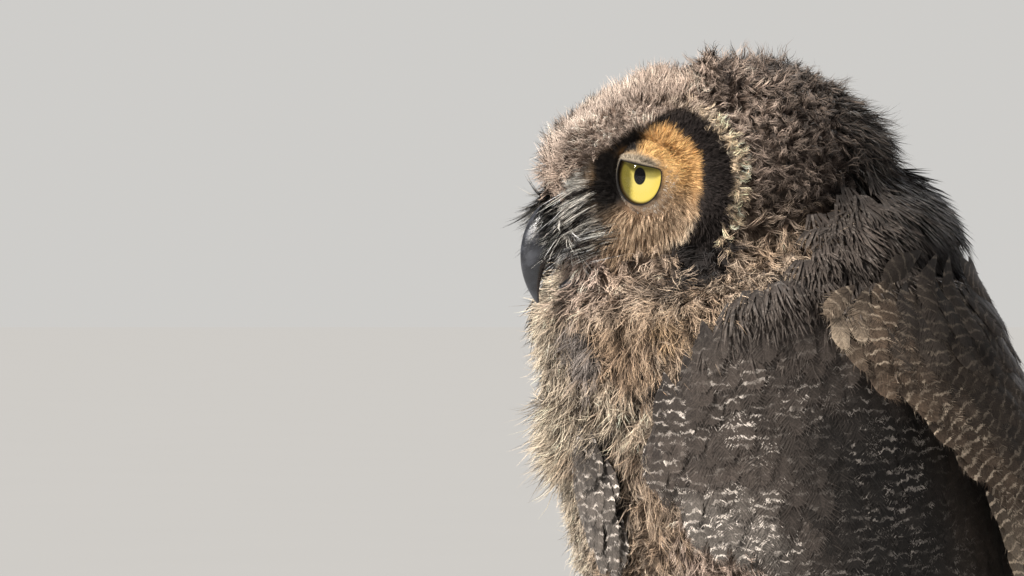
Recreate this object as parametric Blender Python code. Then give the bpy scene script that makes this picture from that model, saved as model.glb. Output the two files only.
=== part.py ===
"""Life-size still model of a fledgling great horned owl: it stands on both feet, its head turned to its right.

Metres, +Z up. The bird faces -Y, so its left side is +X. The floor is z = 0, and the origin is
under the middle of its bounding box. The solids hold the outer shape of the coat.
"""

import math

import bmesh
import bpy
import numpy as np
from mathutils import Matrix, Vector

# Driving dimensions
GAP = 0.0004  # clearance left between neighbouring solids
HEAD_CENTRE = Vector((0.0, -0.055, 0.350))
HEAD_YAW = math.radians(-27)  # turned towards the bird's right
HEAD_SEGMENTS, HEAD_RINGS = 34, 20
NECK_BASE_Z = 0.292
TRUNK_SIDES, TRUNK_RINGS = 28, 13
WING_SIDES, WING_RINGS = 9, 14
PRIMARIES_Z = 0.150  # where the flight feathers leave the coverts

# The head is a smooth union of ellipsoids: centre and half-sizes (left, back, up). Pairs are mirrored.
HEAD_MASSES = {
    "cranium": ((0.0, 0.010, 0.0005), (0.058, 0.0636, 0.0484)),
    "forehead": ((0.010, -0.026, 0.0), (0.027, 0.040, 0.030)),
    "face": ((0.0, -0.030, -0.012), (0.027, 0.047, 0.030)),
    "chin": ((0.0, -0.036, -0.036), (0.024, 0.028, 0.018)),
    "cheek": ((0.031, 0.010, -0.016), (0.029, 0.036, 0.034)),
}
HEAD_BLEND = 9.0  # higher is sharper where two masses meet

IRIS_CENTRE = Vector((0.028, -0.0409, -0.0034))  # left eye, in the head's axes
EYE_OUTWARD = math.radians(31)  # each eye looks this far from straight ahead
EYE_LOOK = np.array((math.sin(EYE_OUTWARD), -math.cos(EYE_OUTWARD), 0.0))
# An owl's eye is a tube with a domed front: distance ahead of the iris, and radius.
EYE_PROFILE = (
    (0.0053, 0.0008),
    (0.0049, 0.0036),
    (0.0037, 0.0067),
    (0.0019, 0.0094),
    (-0.0002, 0.0114),
    (-0.0030, 0.0124),
    (-0.0090, 0.0122),
    (-0.0160, 0.0108),
    (-0.0205, 0.0085),
)

DISC_AXIS = Vector((0.67, 0.74, 0.0))  # outwards along the facial disc, from the eye
DISC_OUT, DISC_IN, DISC_UP, DISC_DOWN = 0.040, 0.030, 0.031, 0.037
DISC_DISH, DISC_RIM, DISC_GROOVE = 0.0065, 0.0028, 0.0040
BROW_HEIGHT = 0.0030
SOCKET_RADIUS, SOCKET_SLOPE, SOCKET_SINK = 0.0118, 0.95, 0.0008  # a cone round each eye

BILL_CENTRE = Vector((0.0, -0.0525, -0.035))  # the culmen is an arc about this point
BILL_RADIUS = 0.0292
BILL_HALF_WIDTH = 0.0095

TUFT_BASE = Vector((0.032, -0.015, 0.0285))
TUFT_RADIUS = 0.0115
TUFT_HEIGHT = {"left": 0.0225, "right": 0.0190}  # still short, and uneven

# Trunk and neck, top to bottom: height, middle (back of the head's axis), half-width, front and back depth.
TRUNK = (
    (0.3605, 0.034, 0.022, 0.012, 0.022),
    (0.3540, 0.032, 0.052, 0.024, 0.052),
    (0.3410, 0.027, 0.071, 0.040, 0.071),
    (0.3250, 0.021, 0.084, 0.056, 0.086),
    (0.3050, 0.019, 0.089, 0.086, 0.081),
    (0.2850, 0.023, 0.093, 0.093, 0.073),
    (0.2600, 0.030, 0.095, 0.092, 0.077),
    (0.2350, 0.036, 0.095, 0.092, 0.085),
    (0.2100, 0.043, 0.094, 0.091, 0.091),
    (0.1870, 0.050, 0.092, 0.091, 0.091),
    (0.1600, 0.060, 0.087, 0.087, 0.088),
    (0.1300, 0.072, 0.076, 0.076, 0.081),
    (0.1020, 0.085, 0.058, 0.056, 0.066),
    (0.0820, 0.094, 0.037, 0.034, 0.042),
    (0.0730, 0.099, 0.017, 0.015, 0.019),
)
TRUNK_ROUNDNESS = 2.15  # exponent of each section's superellipse

# Folded wing, top to bottom: height, front and back edge (degrees from straight ahead), how far the
# front edge stands off the body, thickness, and the guide section's middle, half-width and depth.
WING = (
    (0.3110, 88, 116, 0.000, 0.002, 0.019, 0.0915, 0.0878),
    (0.3020, 68, 150, 0.001, 0.003, 0.020, 0.0925, 0.0825),
    (0.2850, 64, 162, 0.003, 0.010, 0.023, 0.0950, 0.0755),
    (0.2680, 70, 168, 0.006, 0.011, 0.028, 0.0960, 0.0785),
    (0.2450, 82, 170, 0.010, 0.013, 0.034, 0.0965, 0.0860),
    (0.2230, 93, 171, 0.012, 0.014, 0.039, 0.0962, 0.0925),
    (0.2000, 100, 172, 0.012, 0.013, 0.046, 0.0950, 0.0940),
    (0.1750, 106, 173, 0.010, 0.012, 0.054, 0.0915, 0.0930),
    (0.1500, 112, 173, 0.008, 0.011, 0.064, 0.0870, 0.0905),
    (0.1250, 120, 174, 0.005, 0.009, 0.0735, 0.0795, 0.0850),
    (0.1000, 130, 174, 0.003, 0.007, 0.083, 0.0690, 0.0745),
    (0.0800, 142, 174, 0.001, 0.005, 0.090, 0.0570, 0.0625),
    (0.0680, 154, 172, 0.000, 0.003, 0.094, 0.0490, 0.0550),
)
# The left wing droops a little forwards. The right one is held back and closer, by degrees and by share.
WING_TUCK = {"left": (0.0, 1.0), "right": (17.0, 0.45)}

TAIL_ROOT = Vector((0.0, 0.040, 0.118))
TAIL_TIP = Vector((0.0, 0.128, 0.010))
TAIL_HALF_WIDTHS = (0.022, 0.028, 0.034, 0.039, 0.042, 0.040, 0.029)
TAIL_THICKNESS = 0.010
TAIL_ARCH = 0.010  # how much higher the middle feathers lie than the outer ones

LEG_X = 0.043
HIP = Vector((LEG_X, 0.006, 0.150))
HEEL = Vector((LEG_X, 0.016, 0.050))
FOOT = Vector((LEG_X, -0.002, 0.011))
THIGH_RADII = (0.030, 0.041, 0.043, 0.040, 0.033, 0.024)
SHANK_RADII = (0.0165, 0.0165, 0.0155, 0.0150, 0.0155)
TOE_RADIUS = 0.0074
SOLE_FLAT = 0.0010  # how much of a toe's roundness its flat sole takes off
TOE_START = 0.0155  # how far from the middle of the foot a toe begins
CLAW_CHORD = 0.024
CLAW_RADIUS = 0.0036

# Toe number: degrees outwards from straight ahead, and length of the feathered part.
TOES = {1: (-158, 0.024), 2: (-33, 0.032), 3: (14, 0.037), 4: (98, 0.029)}

COLOURS = {  # base colour, roughness
    "down": ((0.34, 0.28, 0.22), 0.95),
    "feather": ((0.13, 0.11, 0.09), 0.8),
    "horn": ((0.035, 0.035, 0.040), 0.3),
    "eye": ((0.85, 0.66, 0.05), 0.1),
    "foot": ((0.42, 0.34, 0.24), 0.9),
}


def clear_scene():
    for obj in list(bpy.data.objects):
        bpy.data.objects.remove(obj, do_unlink=True)


def new_collection(name):
    collection = bpy.data.collections.new(name)
    bpy.context.scene.collection.children.link(collection)
    return collection


def new_material(name):
    colour, roughness = COLOURS[name]
    material = bpy.data.materials.new(name)
    material.use_nodes = True
    shader = material.node_tree.nodes["Principled BSDF"]
    shader.inputs["Base Color"].default_value = (*colour, 1.0)
    shader.inputs["Roughness"].default_value = roughness
    return material


def spline(rows, count):
    """Catmull-Rom curve through the rows, sampled at count even steps."""
    rows = np.array(rows, float)
    steps = np.linspace(0, len(rows) - 1, count)
    first = np.clip(steps.astype(int), 0, len(rows) - 2)
    u = (steps - first)[:, None]
    padded = np.vstack([2 * rows[0] - rows[1], rows, 2 * rows[-1] - rows[-2]])
    a, b, c, d = (padded[first + k] for k in range(4))
    cubic = 3 * b - a - 3 * c + d
    return 0.5 * (2 * b + (c - a) * u + (2 * a - 5 * b + 4 * c - d) * u**2 + cubic * u**3)


def add_mesh(name, mesh, material, matrix=None):
    """The mesh as a smooth-shaded object in the owl's collection, with its normals facing out."""
    work = bmesh.new()
    work.from_mesh(mesh)
    if matrix is not None:
        work.transform(matrix)
    bmesh.ops.triangulate(work, faces=work.faces, quad_method="FIXED")
    bmesh.ops.recalc_face_normals(work, faces=work.faces)
    if work.calc_volume(signed=True) < 0:
        bmesh.ops.reverse_faces(work, faces=work.faces)
    work.to_mesh(mesh)
    work.free()
    mesh.shade_smooth()
    mesh.materials.append(materials[material])
    obj = bpy.data.objects.new(name, mesh)
    owl.objects.link(obj)
    return obj


def loft(name, rings, material, matrix=None, flat=False):
    """A closed skin over rings, an array of (ring, point, xyz).

    Each end gets a fan of triangles or, on a flat loft, a strip from the first half of the ring to the second.
    """
    count, sides = rings.shape[:2]
    points = [tuple(p) for p in rings.reshape(-1, 3)]
    faces = []
    for ring in range(count - 1):
        for side in range(sides):
            a, b = ring * sides + side, ring * sides + (side + 1) % sides
            faces.append((a, b, b + sides, a + sides))
    for end in (0, count - 1):
        if flat:
            first, last = end * sides, end * sides + sides - 1
            strip = range(sides // 2 - 1)
            faces += [(first + k, first + k + 1, last - k - 1, last - k) for k in strip]
            continue
        points.append(tuple(rings[end].mean(axis=0)))
        for side in range(sides):
            faces.append((end * sides + side, end * sides + (side + 1) % sides, len(points) - 1))
    mesh = bpy.data.meshes.new(name)
    mesh.from_pydata(points, [], faces)
    return add_mesh(name, mesh, material, matrix)


def tube_rings(path, radii, sides, flatten=1.0):
    """Rings of the given radii, square to a path of points. flatten scales them upwards."""
    path = np.array(path, float)
    along = np.gradient(path, axis=0)
    along /= np.linalg.norm(along, axis=1)[:, None]
    across = np.cross(along, (0.0, 0.0, 1.0) if abs(along[0][2]) < 0.9 else (0.0, 1.0, 0.0))
    across /= np.linalg.norm(across, axis=1)[:, None]
    upward = np.cross(across, along) * flatten
    turn = np.linspace(0, 2 * math.pi, sides, endpoint=False)
    ring = np.cos(turn)[None, :, None] * across[:, None] + np.sin(turn)[None, :, None] * upward[:, None]
    return path[:, None] + ring * np.array(radii)[:, None, None]


def square_end(rings, end, ahead):
    """Turns the first or last ring square to a direction."""
    ahead = np.array(ahead)
    rings[end] -= np.outer((rings[end] - rings[end].mean(axis=0)) @ ahead, ahead)


def cut(obj, cutter):
    """Removes the cutter's space from the object."""
    modifier = obj.modifiers.new("cut_" + cutter.name, "BOOLEAN")
    modifier.operation = "DIFFERENCE"
    modifier.object = cutter


def as_cutter(obj):
    obj.hide_render = True
    obj.display_type = "WIRE"
    owl.objects.unlink(obj)
    cutters.objects.link(obj)
    return obj


def mirrored(vector, side):
    return Vector((vector.x * side, vector.y, vector.z))


def head_matrix():
    return Matrix.Translation(HEAD_CENTRE) @ Matrix.Rotation(HEAD_YAW, 4, "Z")


def head_masses(points):
    """How far points are outside the smooth union of the head's masses: 0 on its surface."""
    folded = points.copy()
    folded[:, 0] = np.abs(folded[:, 0])
    total = 0.0
    for centre, size in HEAD_MASSES.values():
        reach = np.linalg.norm((folded - centre) / size, axis=1)
        total = total + np.exp(-HEAD_BLEND * (reach - 1))
    return -np.log(total)


def head_radius(directions):
    """Distance from the head's centre to its surface, found by halving along each direction."""
    low, high = np.full(len(directions), 0.01), np.full(len(directions), 0.15)
    for _ in range(26):
        middle = (low + high) / 2
        inside = head_masses(directions * middle[:, None]) < 0
        low, high = np.where(inside, middle, low), np.where(inside, high, middle)
    return low


def face_relief(points):
    """Height of the facial discs, their rims and the brows over the plain head."""
    folded = points.copy()
    folded[:, 0] = np.abs(folded[:, 0])
    offset = folded - np.array(IRIS_CENTRE)
    out, up = offset @ np.array(DISC_AXIS), offset[:, 2]
    reach = np.hypot(
        out / np.where(out > 0, DISC_OUT, DISC_IN), up / np.where(up > 0, DISC_UP, DISC_DOWN)
    )
    front = np.clip((0.014 - folded[:, 1]) / 0.014, 0, 1)
    dish = -DISC_DISH * np.clip(1 - reach**2, 0, 1)
    rim = DISC_RIM * np.exp(-(((reach - 1.0) / 0.18) ** 2))
    groove = -DISC_GROOVE * np.exp(-(((reach - 1.34) / 0.17) ** 2)) * np.clip(out / 0.015, 0, 1)
    brow_line = 0.012 + 0.30 * out
    brow = BROW_HEIGHT * np.exp(-(((up - brow_line) / 0.007) ** 2) - ((out - 0.002) / 0.024) ** 2)
    return (dish + rim + groove + brow) * front


def open_sockets(points, directions):
    """Points that stand in front of the cone round an eye, drawn in towards the head's centre onto it."""
    outward = EYE_LOOK * np.where(points[:, :1] < 0, (-1, 1, 1), 1)
    centre = np.array(IRIS_CENTRE) * np.where(points[:, :1] < 0, (-1, 1, 1), 1)
    facing = np.maximum((directions * outward).sum(axis=1), 0.3)
    for _ in range(6):
        offset = points - centre
        ahead = (offset * outward).sum(axis=1)
        away = np.linalg.norm(offset - outward * ahead[:, None], axis=1)
        allowed = SOCKET_SLOPE * np.maximum(away - SOCKET_RADIUS, 0) - SOCKET_SINK
        excess = np.where(points[:, 1] < 0, np.maximum(ahead - allowed, 0), 0)
        points = points - directions * (0.7 * excess / facing)[:, None]
    return points


def build_head():
    bpy.ops.mesh.primitive_uv_sphere_add(segments=HEAD_SEGMENTS, ring_count=HEAD_RINGS, radius=1.0)
    ball = bpy.context.object
    mesh = ball.data.copy()
    bpy.data.objects.remove(ball)
    directions = np.array([v.co.normalized() for v in mesh.vertices])
    points = directions * head_radius(directions)[:, None]
    points = open_sockets(points + directions * face_relief(points)[:, None], directions)
    mesh.vertices.foreach_set("co", points.ravel())
    return mesh


def eye_rings(side, grow):
    """The eye's profile turned about its line of sight. side is 1 for left, -1 for right."""
    look = EYE_LOOK * (side, 1, 1)
    ahead, radii = np.array(EYE_PROFILE).T
    ahead = ahead + grow * np.sign(ahead + 0.01)
    path = np.array(mirrored(IRIS_CENTRE, side)) + ahead[:, None] * look
    return tube_rings(path, radii + grow, 18)


def bill_rings(grow):
    """Upper mandible: ellipses round an arc, from the base inside the face to the hooked tip."""
    turn, inner, half_width = spline(
        (
            (112, 0.0070, 0.0085),
            (88, 0.0075, BILL_HALF_WIDTH),
            (58, 0.0085, 0.0090),
            (30, 0.0115, 0.0076),
            (4, 0.0160, 0.0056),
            (-18, 0.0212, 0.0036),
            (-34, 0.0262, 0.0016),
            (-40, 0.0282, 0.0006),
        ),
        13,
    ).T
    inner = np.minimum(inner, BILL_RADIUS - 0.0008)
    middle, half = (BILL_RADIUS + inner) / 2, (BILL_RADIUS - inner) / 2 + grow
    angle = np.radians(turn)
    outward = np.stack([np.zeros_like(angle), -np.cos(angle), np.sin(angle)], axis=1)
    around = np.linspace(0, 2 * math.pi, 12, endpoint=False)
    lateral = np.sin(around) * (1 - 0.22 * np.cos(around))  # the ridge is narrower than the edge
    centre = np.array(BILL_CENTRE) + outward * middle[:, None]
    rings = centre[:, None] + outward[:, None] * (np.cos(around)[None] * half[:, None])[..., None]
    rings[..., 0] += lateral[None] * (half_width + grow)[:, None]
    return rings


def lower_bill_rings(grow):
    """Lower mandible: a shallow scoop inside the hook."""
    path = spline(((0, -0.030, -0.038), (0, -0.046, -0.0405), (0, -0.058, -0.0440), (0, -0.0655, -0.0475)), 8)
    radii = spline(((0.0070,), (0.0066,), (0.0048,), (0.0012,)), 8)[:, 0] + grow
    return tube_rings(path, radii, 12, flatten=0.55)


def tuft_rings(side, height):
    """A short ear tuft: a blunt, backward-leaning dome of down."""
    base = TUFT_BASE.copy()
    base.x *= side
    steps = np.linspace(0, 1, 6)[:, None]
    lean = np.array((0.05 * side, 0.10, 1.0))
    path = np.array(base) + steps * lean * height
    radii = TUFT_RADIUS * np.sqrt(np.clip(1 - steps[:, 0] ** 2.5, 0.02, 1))
    return tube_rings(path, radii, 10)


def section(turn, half_width, front, back, power):
    """Superellipse about the bird's upright axis: turn 0 is straight ahead and 90 degrees is left."""
    depth = np.where(np.cos(turn) > 0, front, back)
    side, ahead = np.sin(turn), np.cos(turn)
    reach = (np.abs(side / half_width) ** power + np.abs(ahead / depth) ** power) ** (-1 / power)
    return reach * side, -reach * ahead


def trunk_rings(rows, grow=0.0):
    turn = np.linspace(0, 2 * math.pi, TRUNK_SIDES, endpoint=False)
    rings = []
    for z, middle, half_width, front, back in rows:
        x, y = section(turn, half_width + grow, front + grow, back + grow, TRUNK_ROUNDNESS)
        rings.append(np.stack([x, y + middle + HEAD_CENTRE.y, np.full_like(x, z)], axis=1))
    return np.array(rings)


def rows_between(rows, top, bottom):
    """The rows from one height down to another, with a row put in at each of the two heights."""
    heights = rows[:, 0]
    ends = [[np.interp(-z, -heights, column) for column in rows.T] for z in (top, bottom)]
    inside = rows[(heights < top - 1e-3) & (heights > bottom + 1e-3)]
    return np.vstack([ends[0], inside, ends[1]])


def wing_rings(rows, side, tuck):
    """Crescents round the body: out along the coverts from the front edge to the back, home along the inside."""
    share = np.linspace(0, 1, WING_SIDES)
    backwards, looseness = tuck
    rings = []
    for z, front, back, standoff, thickness, middle, half_width, depth in rows:
        front += backwards * np.clip((110 - front) / 40, 0, 1)
        turn = np.radians(front + (back - front) * share)
        bulge = thickness * (1 - (2 * share - 1) ** 4 * 0.85) * (0.75 + 0.25 * looseness)
        lift = standoff * looseness * (1 - share) ** 2
        x, y = section(turn, half_width, depth, depth, TRUNK_ROUNDNESS)
        out = np.stack([x, y], axis=1) / np.hypot(x, y)[:, None]
        inner = np.stack([x, y], axis=1) + out * (lift + 0.0012)[:, None]
        outer = inner + out * np.maximum(bulge, 0.0022)[:, None]
        ring = np.vstack([outer, inner[::-1]])
        ring = np.column_stack([ring[:, 0] * side, ring[:, 1] + middle + HEAD_CENTRE.y])
        rings.append(np.column_stack([ring, np.full(len(ring), z)]))
    return np.array(rings)


def tail_rings():
    """A flat, gently arched wedge of twelve closed feathers."""
    count = len(TAIL_HALF_WIDTHS)
    path = np.linspace(TAIL_ROOT, TAIL_TIP, count)
    along = (TAIL_TIP - TAIL_ROOT).normalized()
    normal = Vector((0, -along.z, along.y))  # towards the bird's back
    share = np.linspace(-1, 1, 9)
    rings = []
    for place, half_width, step in zip(path, TAIL_HALF_WIDTHS, np.linspace(0, 1, count)):
        half_thick = TAIL_THICKNESS / 2 * (1 - 0.5 * step) * np.sqrt(1.06 - share**2)
        arch = -TAIL_ARCH * share**2
        top = place + np.outer(arch + half_thick, normal)
        under = place + np.outer(arch - half_thick, normal)
        top[:, 0] += share * half_width
        under[:, 0] += share * half_width
        rings.append(np.vstack([top, under[::-1]]))
    return np.array(rings)


def build_leg(side, name, trunk_clearance):
    hip, heel, foot = (mirrored(p, side) for p in (HIP, HEEL, FOOT))
    thigh_path = spline((hip, hip.lerp(heel, 0.5) + Vector((0, -0.004, 0)), heel), len(THIGH_RADII))
    thigh = loft("thigh_" + name, tube_rings(thigh_path, THIGH_RADII, 14), "down")
    cut(thigh, trunk_clearance)

    path = spline((heel + Vector((0, 0.002, 0.012)), heel, heel.lerp(foot, 0.55), foot), 7)
    radii = spline([(r,) for r in SHANK_RADII], 7)[:, 0]
    rings = tube_rings(np.vstack([path, path[-1] + (0, -0.0005, -0.011)]), [*radii, 0.0135], 12)
    rings[..., 2] = np.maximum(rings[..., 2], 0.0)
    loft("shank_" + name, rings, "foot")
    shank_room = as_cutter(loft("shank_room_" + name, grown(rings), "foot"))
    cut(thigh, shank_room)

    for number, (degrees, length) in TOES.items():
        cut(build_toe(foot, math.radians(degrees) * side, length, f"{name}_{number}"), shank_room)


def grown(rings):
    """The rings with a clearance all round, and past both ends."""
    middle = rings.mean(axis=1, keepdims=True)
    size = np.linalg.norm(rings - middle, axis=2, keepdims=True)
    wide = middle + (rings - middle) * (size + GAP) / size
    ends = (wide[0] - (wide[1] - wide[0]) * 0.2, wide[-1] - (0, 0, 0.002))
    return np.vstack([ends[0][None], wide, ends[1][None]])


def build_toe(foot, turn, length, label):
    """One feathered toe with a flat sole, and its claw."""
    ahead = Vector((math.sin(turn), -math.cos(turn), 0.0))
    start = Vector((foot.x, foot.y, 0.0)) + ahead * TOE_START
    reach = np.linspace(0, 1, 7)
    path = np.array(start) + reach[:, None] * np.array(ahead * length)
    radii = TOE_RADIUS * (0.86 + 0.14 * np.sin(math.pi * np.minimum(reach * 1.2, 1)))
    radii[-1] *= 0.70
    path[:, 2] = radii - SOLE_FLAT
    rings = tube_rings(path, radii, 10)
    square_end(rings, -1, ahead)
    rings[..., 2] = np.maximum(rings[..., 2], 0.0)
    toe = loft("toe_" + label, rings, "foot")

    tip = start + ahead * (length + GAP)
    bend = np.linspace(0, 1, 7)
    drop = np.array([math.cos(b * 1.25) for b in bend])
    claw_path = np.array([tip + ahead * CLAW_CHORD * math.sin(b * 1.25) / math.sin(1.25) for b in bend])
    claw_path[:, 2] = 0.0016 + (drop - drop[-1]) / (1 - drop[-1]) * 0.0074
    claw_radii = CLAW_RADIUS * (1 - bend) ** 0.75 + 0.0004
    claw = tube_rings(claw_path, claw_radii, 8)
    square_end(claw, 0, ahead)
    claw[..., 2] = np.maximum(claw[..., 2], 0.0004)
    loft("claw_" + label, claw, "horn")
    return toe


def build_owl():
    trunk_rows = spline(TRUNK, TRUNK_RINGS * 2)
    lower = rows_between(trunk_rows, NECK_BASE_Z - GAP, TRUNK[-1][0])[::2]
    lower = np.vstack([lower, trunk_rows[-1]]) if lower[-1][0] > TRUNK[-1][0] else lower
    upper = rows_between(trunk_rows, TRUNK[0][0], NECK_BASE_Z)
    trunk = loft("trunk", trunk_rings(lower), "feather")
    trunk_room = as_cutter(loft("trunk_room", trunk_rings(trunk_rows, GAP * 1.5), "feather"))
    neck = loft("neck", trunk_rings(upper), "down")

    head = add_mesh("head", build_head(), "down", head_matrix())
    head_room = head.copy()
    head_room.data = head.data.copy()
    head_room.name = "head_room"
    owl.objects.link(head_room)
    as_cutter(head_room)
    away = np.array([v.co - HEAD_CENTRE for v in head_room.data.vertices])
    away *= 1 + GAP * 1.6 / np.linalg.norm(away, axis=1)[:, None]
    head_room.data.vertices.foreach_set("co", (away + np.array(HEAD_CENTRE)).ravel())
    cut(neck, head_room)

    loft("bill_upper", bill_rings(0.0), "horn", head_matrix())
    upper_room = as_cutter(loft("bill_upper_room", bill_rings(GAP), "horn", head_matrix()))
    lower_bill = loft("bill_lower", lower_bill_rings(0.0), "horn", head_matrix())
    lower_room = as_cutter(loft("bill_lower_room", lower_bill_rings(GAP), "horn", head_matrix()))
    cut(lower_bill, upper_room)
    for solid in (head, neck):
        cut(solid, upper_room)
        cut(solid, lower_room)

    wing_rows = spline(WING, WING_RINGS)
    for side, name in ((1, "left"), (-1, "right")):
        loft("eye_" + name, eye_rings(side, 0.0), "eye", head_matrix())
        cut(head, as_cutter(loft("eye_room_" + name, eye_rings(side, GAP), "eye", head_matrix())))

        tuft = loft("ear_tuft_" + name, tuft_rings(side, TUFT_HEIGHT[name]), "down", head_matrix())
        cut(tuft, head_room)

        coverts = rows_between(wing_rows, WING[0][0], PRIMARIES_Z + GAP)
        flight = rows_between(wing_rows, PRIMARIES_Z, WING[-1][0])
        loft("wing_" + name, wing_rings(coverts, side, WING_TUCK[name]), "feather", flat=True)
        tips = wing_rings(flight, side, WING_TUCK[name])
        loft("primaries_" + name, tips, "feather", flat=True)
        build_leg(side, name, trunk_room)

    tail = loft("tail", tail_rings(), "feather", flat=True)
    cut(tail, trunk_room)
    return trunk


clear_scene()
owl = new_collection("great_horned_owl")
cutters = new_collection("cutters")
cutters.hide_render = True
materials = {name: new_material(name) for name in COLOURS}
build_owl()
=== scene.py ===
import math
from types import SimpleNamespace

import bmesh
import bpy
import numpy as np
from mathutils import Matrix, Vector
from mathutils.bvhtree import BVHTree
from numpy.random import default_rng


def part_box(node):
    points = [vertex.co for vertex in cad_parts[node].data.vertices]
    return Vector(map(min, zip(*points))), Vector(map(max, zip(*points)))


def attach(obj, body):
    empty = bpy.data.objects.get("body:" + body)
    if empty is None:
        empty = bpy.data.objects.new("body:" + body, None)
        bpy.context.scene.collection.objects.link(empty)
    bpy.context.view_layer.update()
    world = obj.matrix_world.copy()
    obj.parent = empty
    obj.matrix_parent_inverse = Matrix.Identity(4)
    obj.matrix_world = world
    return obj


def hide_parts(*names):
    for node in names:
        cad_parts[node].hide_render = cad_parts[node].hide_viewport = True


# The looks of a fledgling great horned owl: one skin, its down and feathers, lids, eyes and bill.
# Metres, +Z up. The bird faces -Y and its left side is +X. The head has its own axes: left, back, up.

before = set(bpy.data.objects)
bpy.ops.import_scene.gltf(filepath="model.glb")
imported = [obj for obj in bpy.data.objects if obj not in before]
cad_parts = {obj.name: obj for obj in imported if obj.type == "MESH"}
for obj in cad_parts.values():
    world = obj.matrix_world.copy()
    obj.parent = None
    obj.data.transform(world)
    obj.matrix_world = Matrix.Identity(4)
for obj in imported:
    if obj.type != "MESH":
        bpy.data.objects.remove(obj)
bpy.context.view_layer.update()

SIDES = {"left": 1, "right": -1}
UP = np.array((0.0, 0.0, 1.0))

# ---- sizes and places
IRIS = np.array((0.028, -0.0409, -0.0034))  # left iris from the head's centre, in the head's axes
EYE_OUTWARD = math.radians(31)
CORNEA_AHEAD = 0.0053  # how far the cornea stands ahead of the iris
IRIS_RADIUS, PUPIL_RADIUS = 0.0112, 0.0034
DISC_AXIS = np.array((0.67, 0.74, 0.0))  # outwards along the facial disc
DISC_OUT, DISC_IN, DISC_UP, DISC_DOWN = 0.040, 0.030, 0.031, 0.037
BILL_BASE = np.array((0.0, -0.078, -0.012))
AXIS_HEIGHTS = (0.07, 0.10, 0.13, 0.16, 0.21, 0.26, 0.30, 0.36)  # the trunk's middle, back of the head's axis
AXIS_BACK = (0.099, 0.085, 0.072, 0.060, 0.043, 0.030, 0.020, 0.034)
VOXEL = 0.0026  # of the skin
SKIN_GAP = 0.0004  # between the skin and the floor

# ---- colours, linear
COLOURS = dict(
    crown_tip=(0.82, 0.63, 0.51), crown_root=(0.105, 0.070, 0.052),
    forehead_tip=(0.89, 0.715, 0.60), forehead_root=(0.17, 0.115, 0.085),
    cream_tip=(0.90, 0.75, 0.57), cream_root=(0.24, 0.175, 0.12),
    orange=(0.85, 0.50, 0.205), orange_root=(0.50, 0.27, 0.105),
    rim=(0.030, 0.023, 0.021), black=(0.014, 0.011, 0.010),
    lid=(0.40, 0.33, 0.245), under_eye=(0.68, 0.49, 0.33), umber=(0.15, 0.085, 0.045),
    bristle_pale=(0.92, 0.87, 0.79), pink=(0.84, 0.64, 0.53),
    buff_tip=(0.75, 0.58, 0.43), buff_root=(0.100, 0.066, 0.046),
    tawny_tip=(0.56, 0.385, 0.25), white=(0.80, 0.74, 0.66),
    slate=(0.33, 0.28, 0.25), soot=(0.038, 0.030, 0.026), grey_brown=(0.070, 0.055, 0.046),
    wing_brown=(0.060, 0.044, 0.033), wing_dark=(0.030, 0.024, 0.021), mantle=(0.052, 0.040, 0.032),
    wing_buff=(0.58, 0.47, 0.35), wing_edge=(0.120, 0.082, 0.056),
    leg_buff=(0.60, 0.47, 0.33), leg_root=(0.20, 0.13, 0.08))
C = SimpleNamespace(**{name: np.array(value) for name, value in COLOURS.items()})
FLIGHT_COLOURS = C.wing_dark, C.wing_brown


def smooth(x, low, high):
    """0 below low, 1 above high, and an S-curve between them."""
    t = np.clip((x - low) / (high - low), 0, 1)
    return t * t * (3 - 2 * t)


def fade(x, low, high):
    """1 below low, 0 above high, and an S-curve between them."""
    return 1 - smooth(x, low, high)


def bump(x, middle, width):
    """A bell of height 1 about middle."""
    return np.exp(-(((x - middle) / width) ** 2))


def lengths(vectors):
    """The length of each row."""
    return np.linalg.norm(vectors, axis=1)


def unit(vectors):
    """Each vector over its own length."""
    return vectors / np.maximum(np.linalg.norm(vectors, axis=-1, keepdims=True), 1e-12)


def between(first, second, share):
    """Numbers mixed by a share each."""
    return first * (1 - share) + second * share


def blend(first, second, share):
    """Colours mixed by a share for each row."""
    return between(first, second, np.asarray(share)[..., None])


def read_grid(grid, row, left, right, down, across):
    """Values between a grid's points: across from the left column to the right, down to the next row."""
    upper, lower = (between(grid[k, left], grid[k, right], across) for k in (row, row + 1))
    return between(upper, lower, down)


def both(root, tip, other_root, other_tip, share):
    """A root and a tip colour mixed with another such pair."""
    return blend(root, other_root, share), blend(tip, other_tip, share)


def wobble(points, scale, seed):
    """Smooth noise from -1 to 1: sines along seeded directions, of about that wavelength."""
    rng = default_rng(seed)
    waves = unit(rng.normal(size=(9, 3))) * (2 * math.pi / scale) * rng.uniform(0.6, 1.5, (9, 1))
    return np.sin(points @ waves.T + rng.uniform(0, 6.28, 9)).sum(axis=1) / 4.5


# ---- the frame's own places
def read_rows(items, field, kind):
    """Three numbers of each item, as rows."""
    values = np.empty(len(items) * 3, kind)
    items.foreach_get(field, values)
    return values.reshape(-1, 3)


def node_points(name):
    """The corners of one solid, as rows."""
    return read_rows(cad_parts[name].data.vertices, "co", float)


def look_of(side, axes=None):
    """The eye's line of sight: straight ahead of the head, turned outwards."""
    axes = HEAD_AXES if axes is None else axes
    return axes @ np.array((math.sin(EYE_OUTWARD) * SIDES[side], -math.cos(EYE_OUTWARD), 0))


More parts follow.
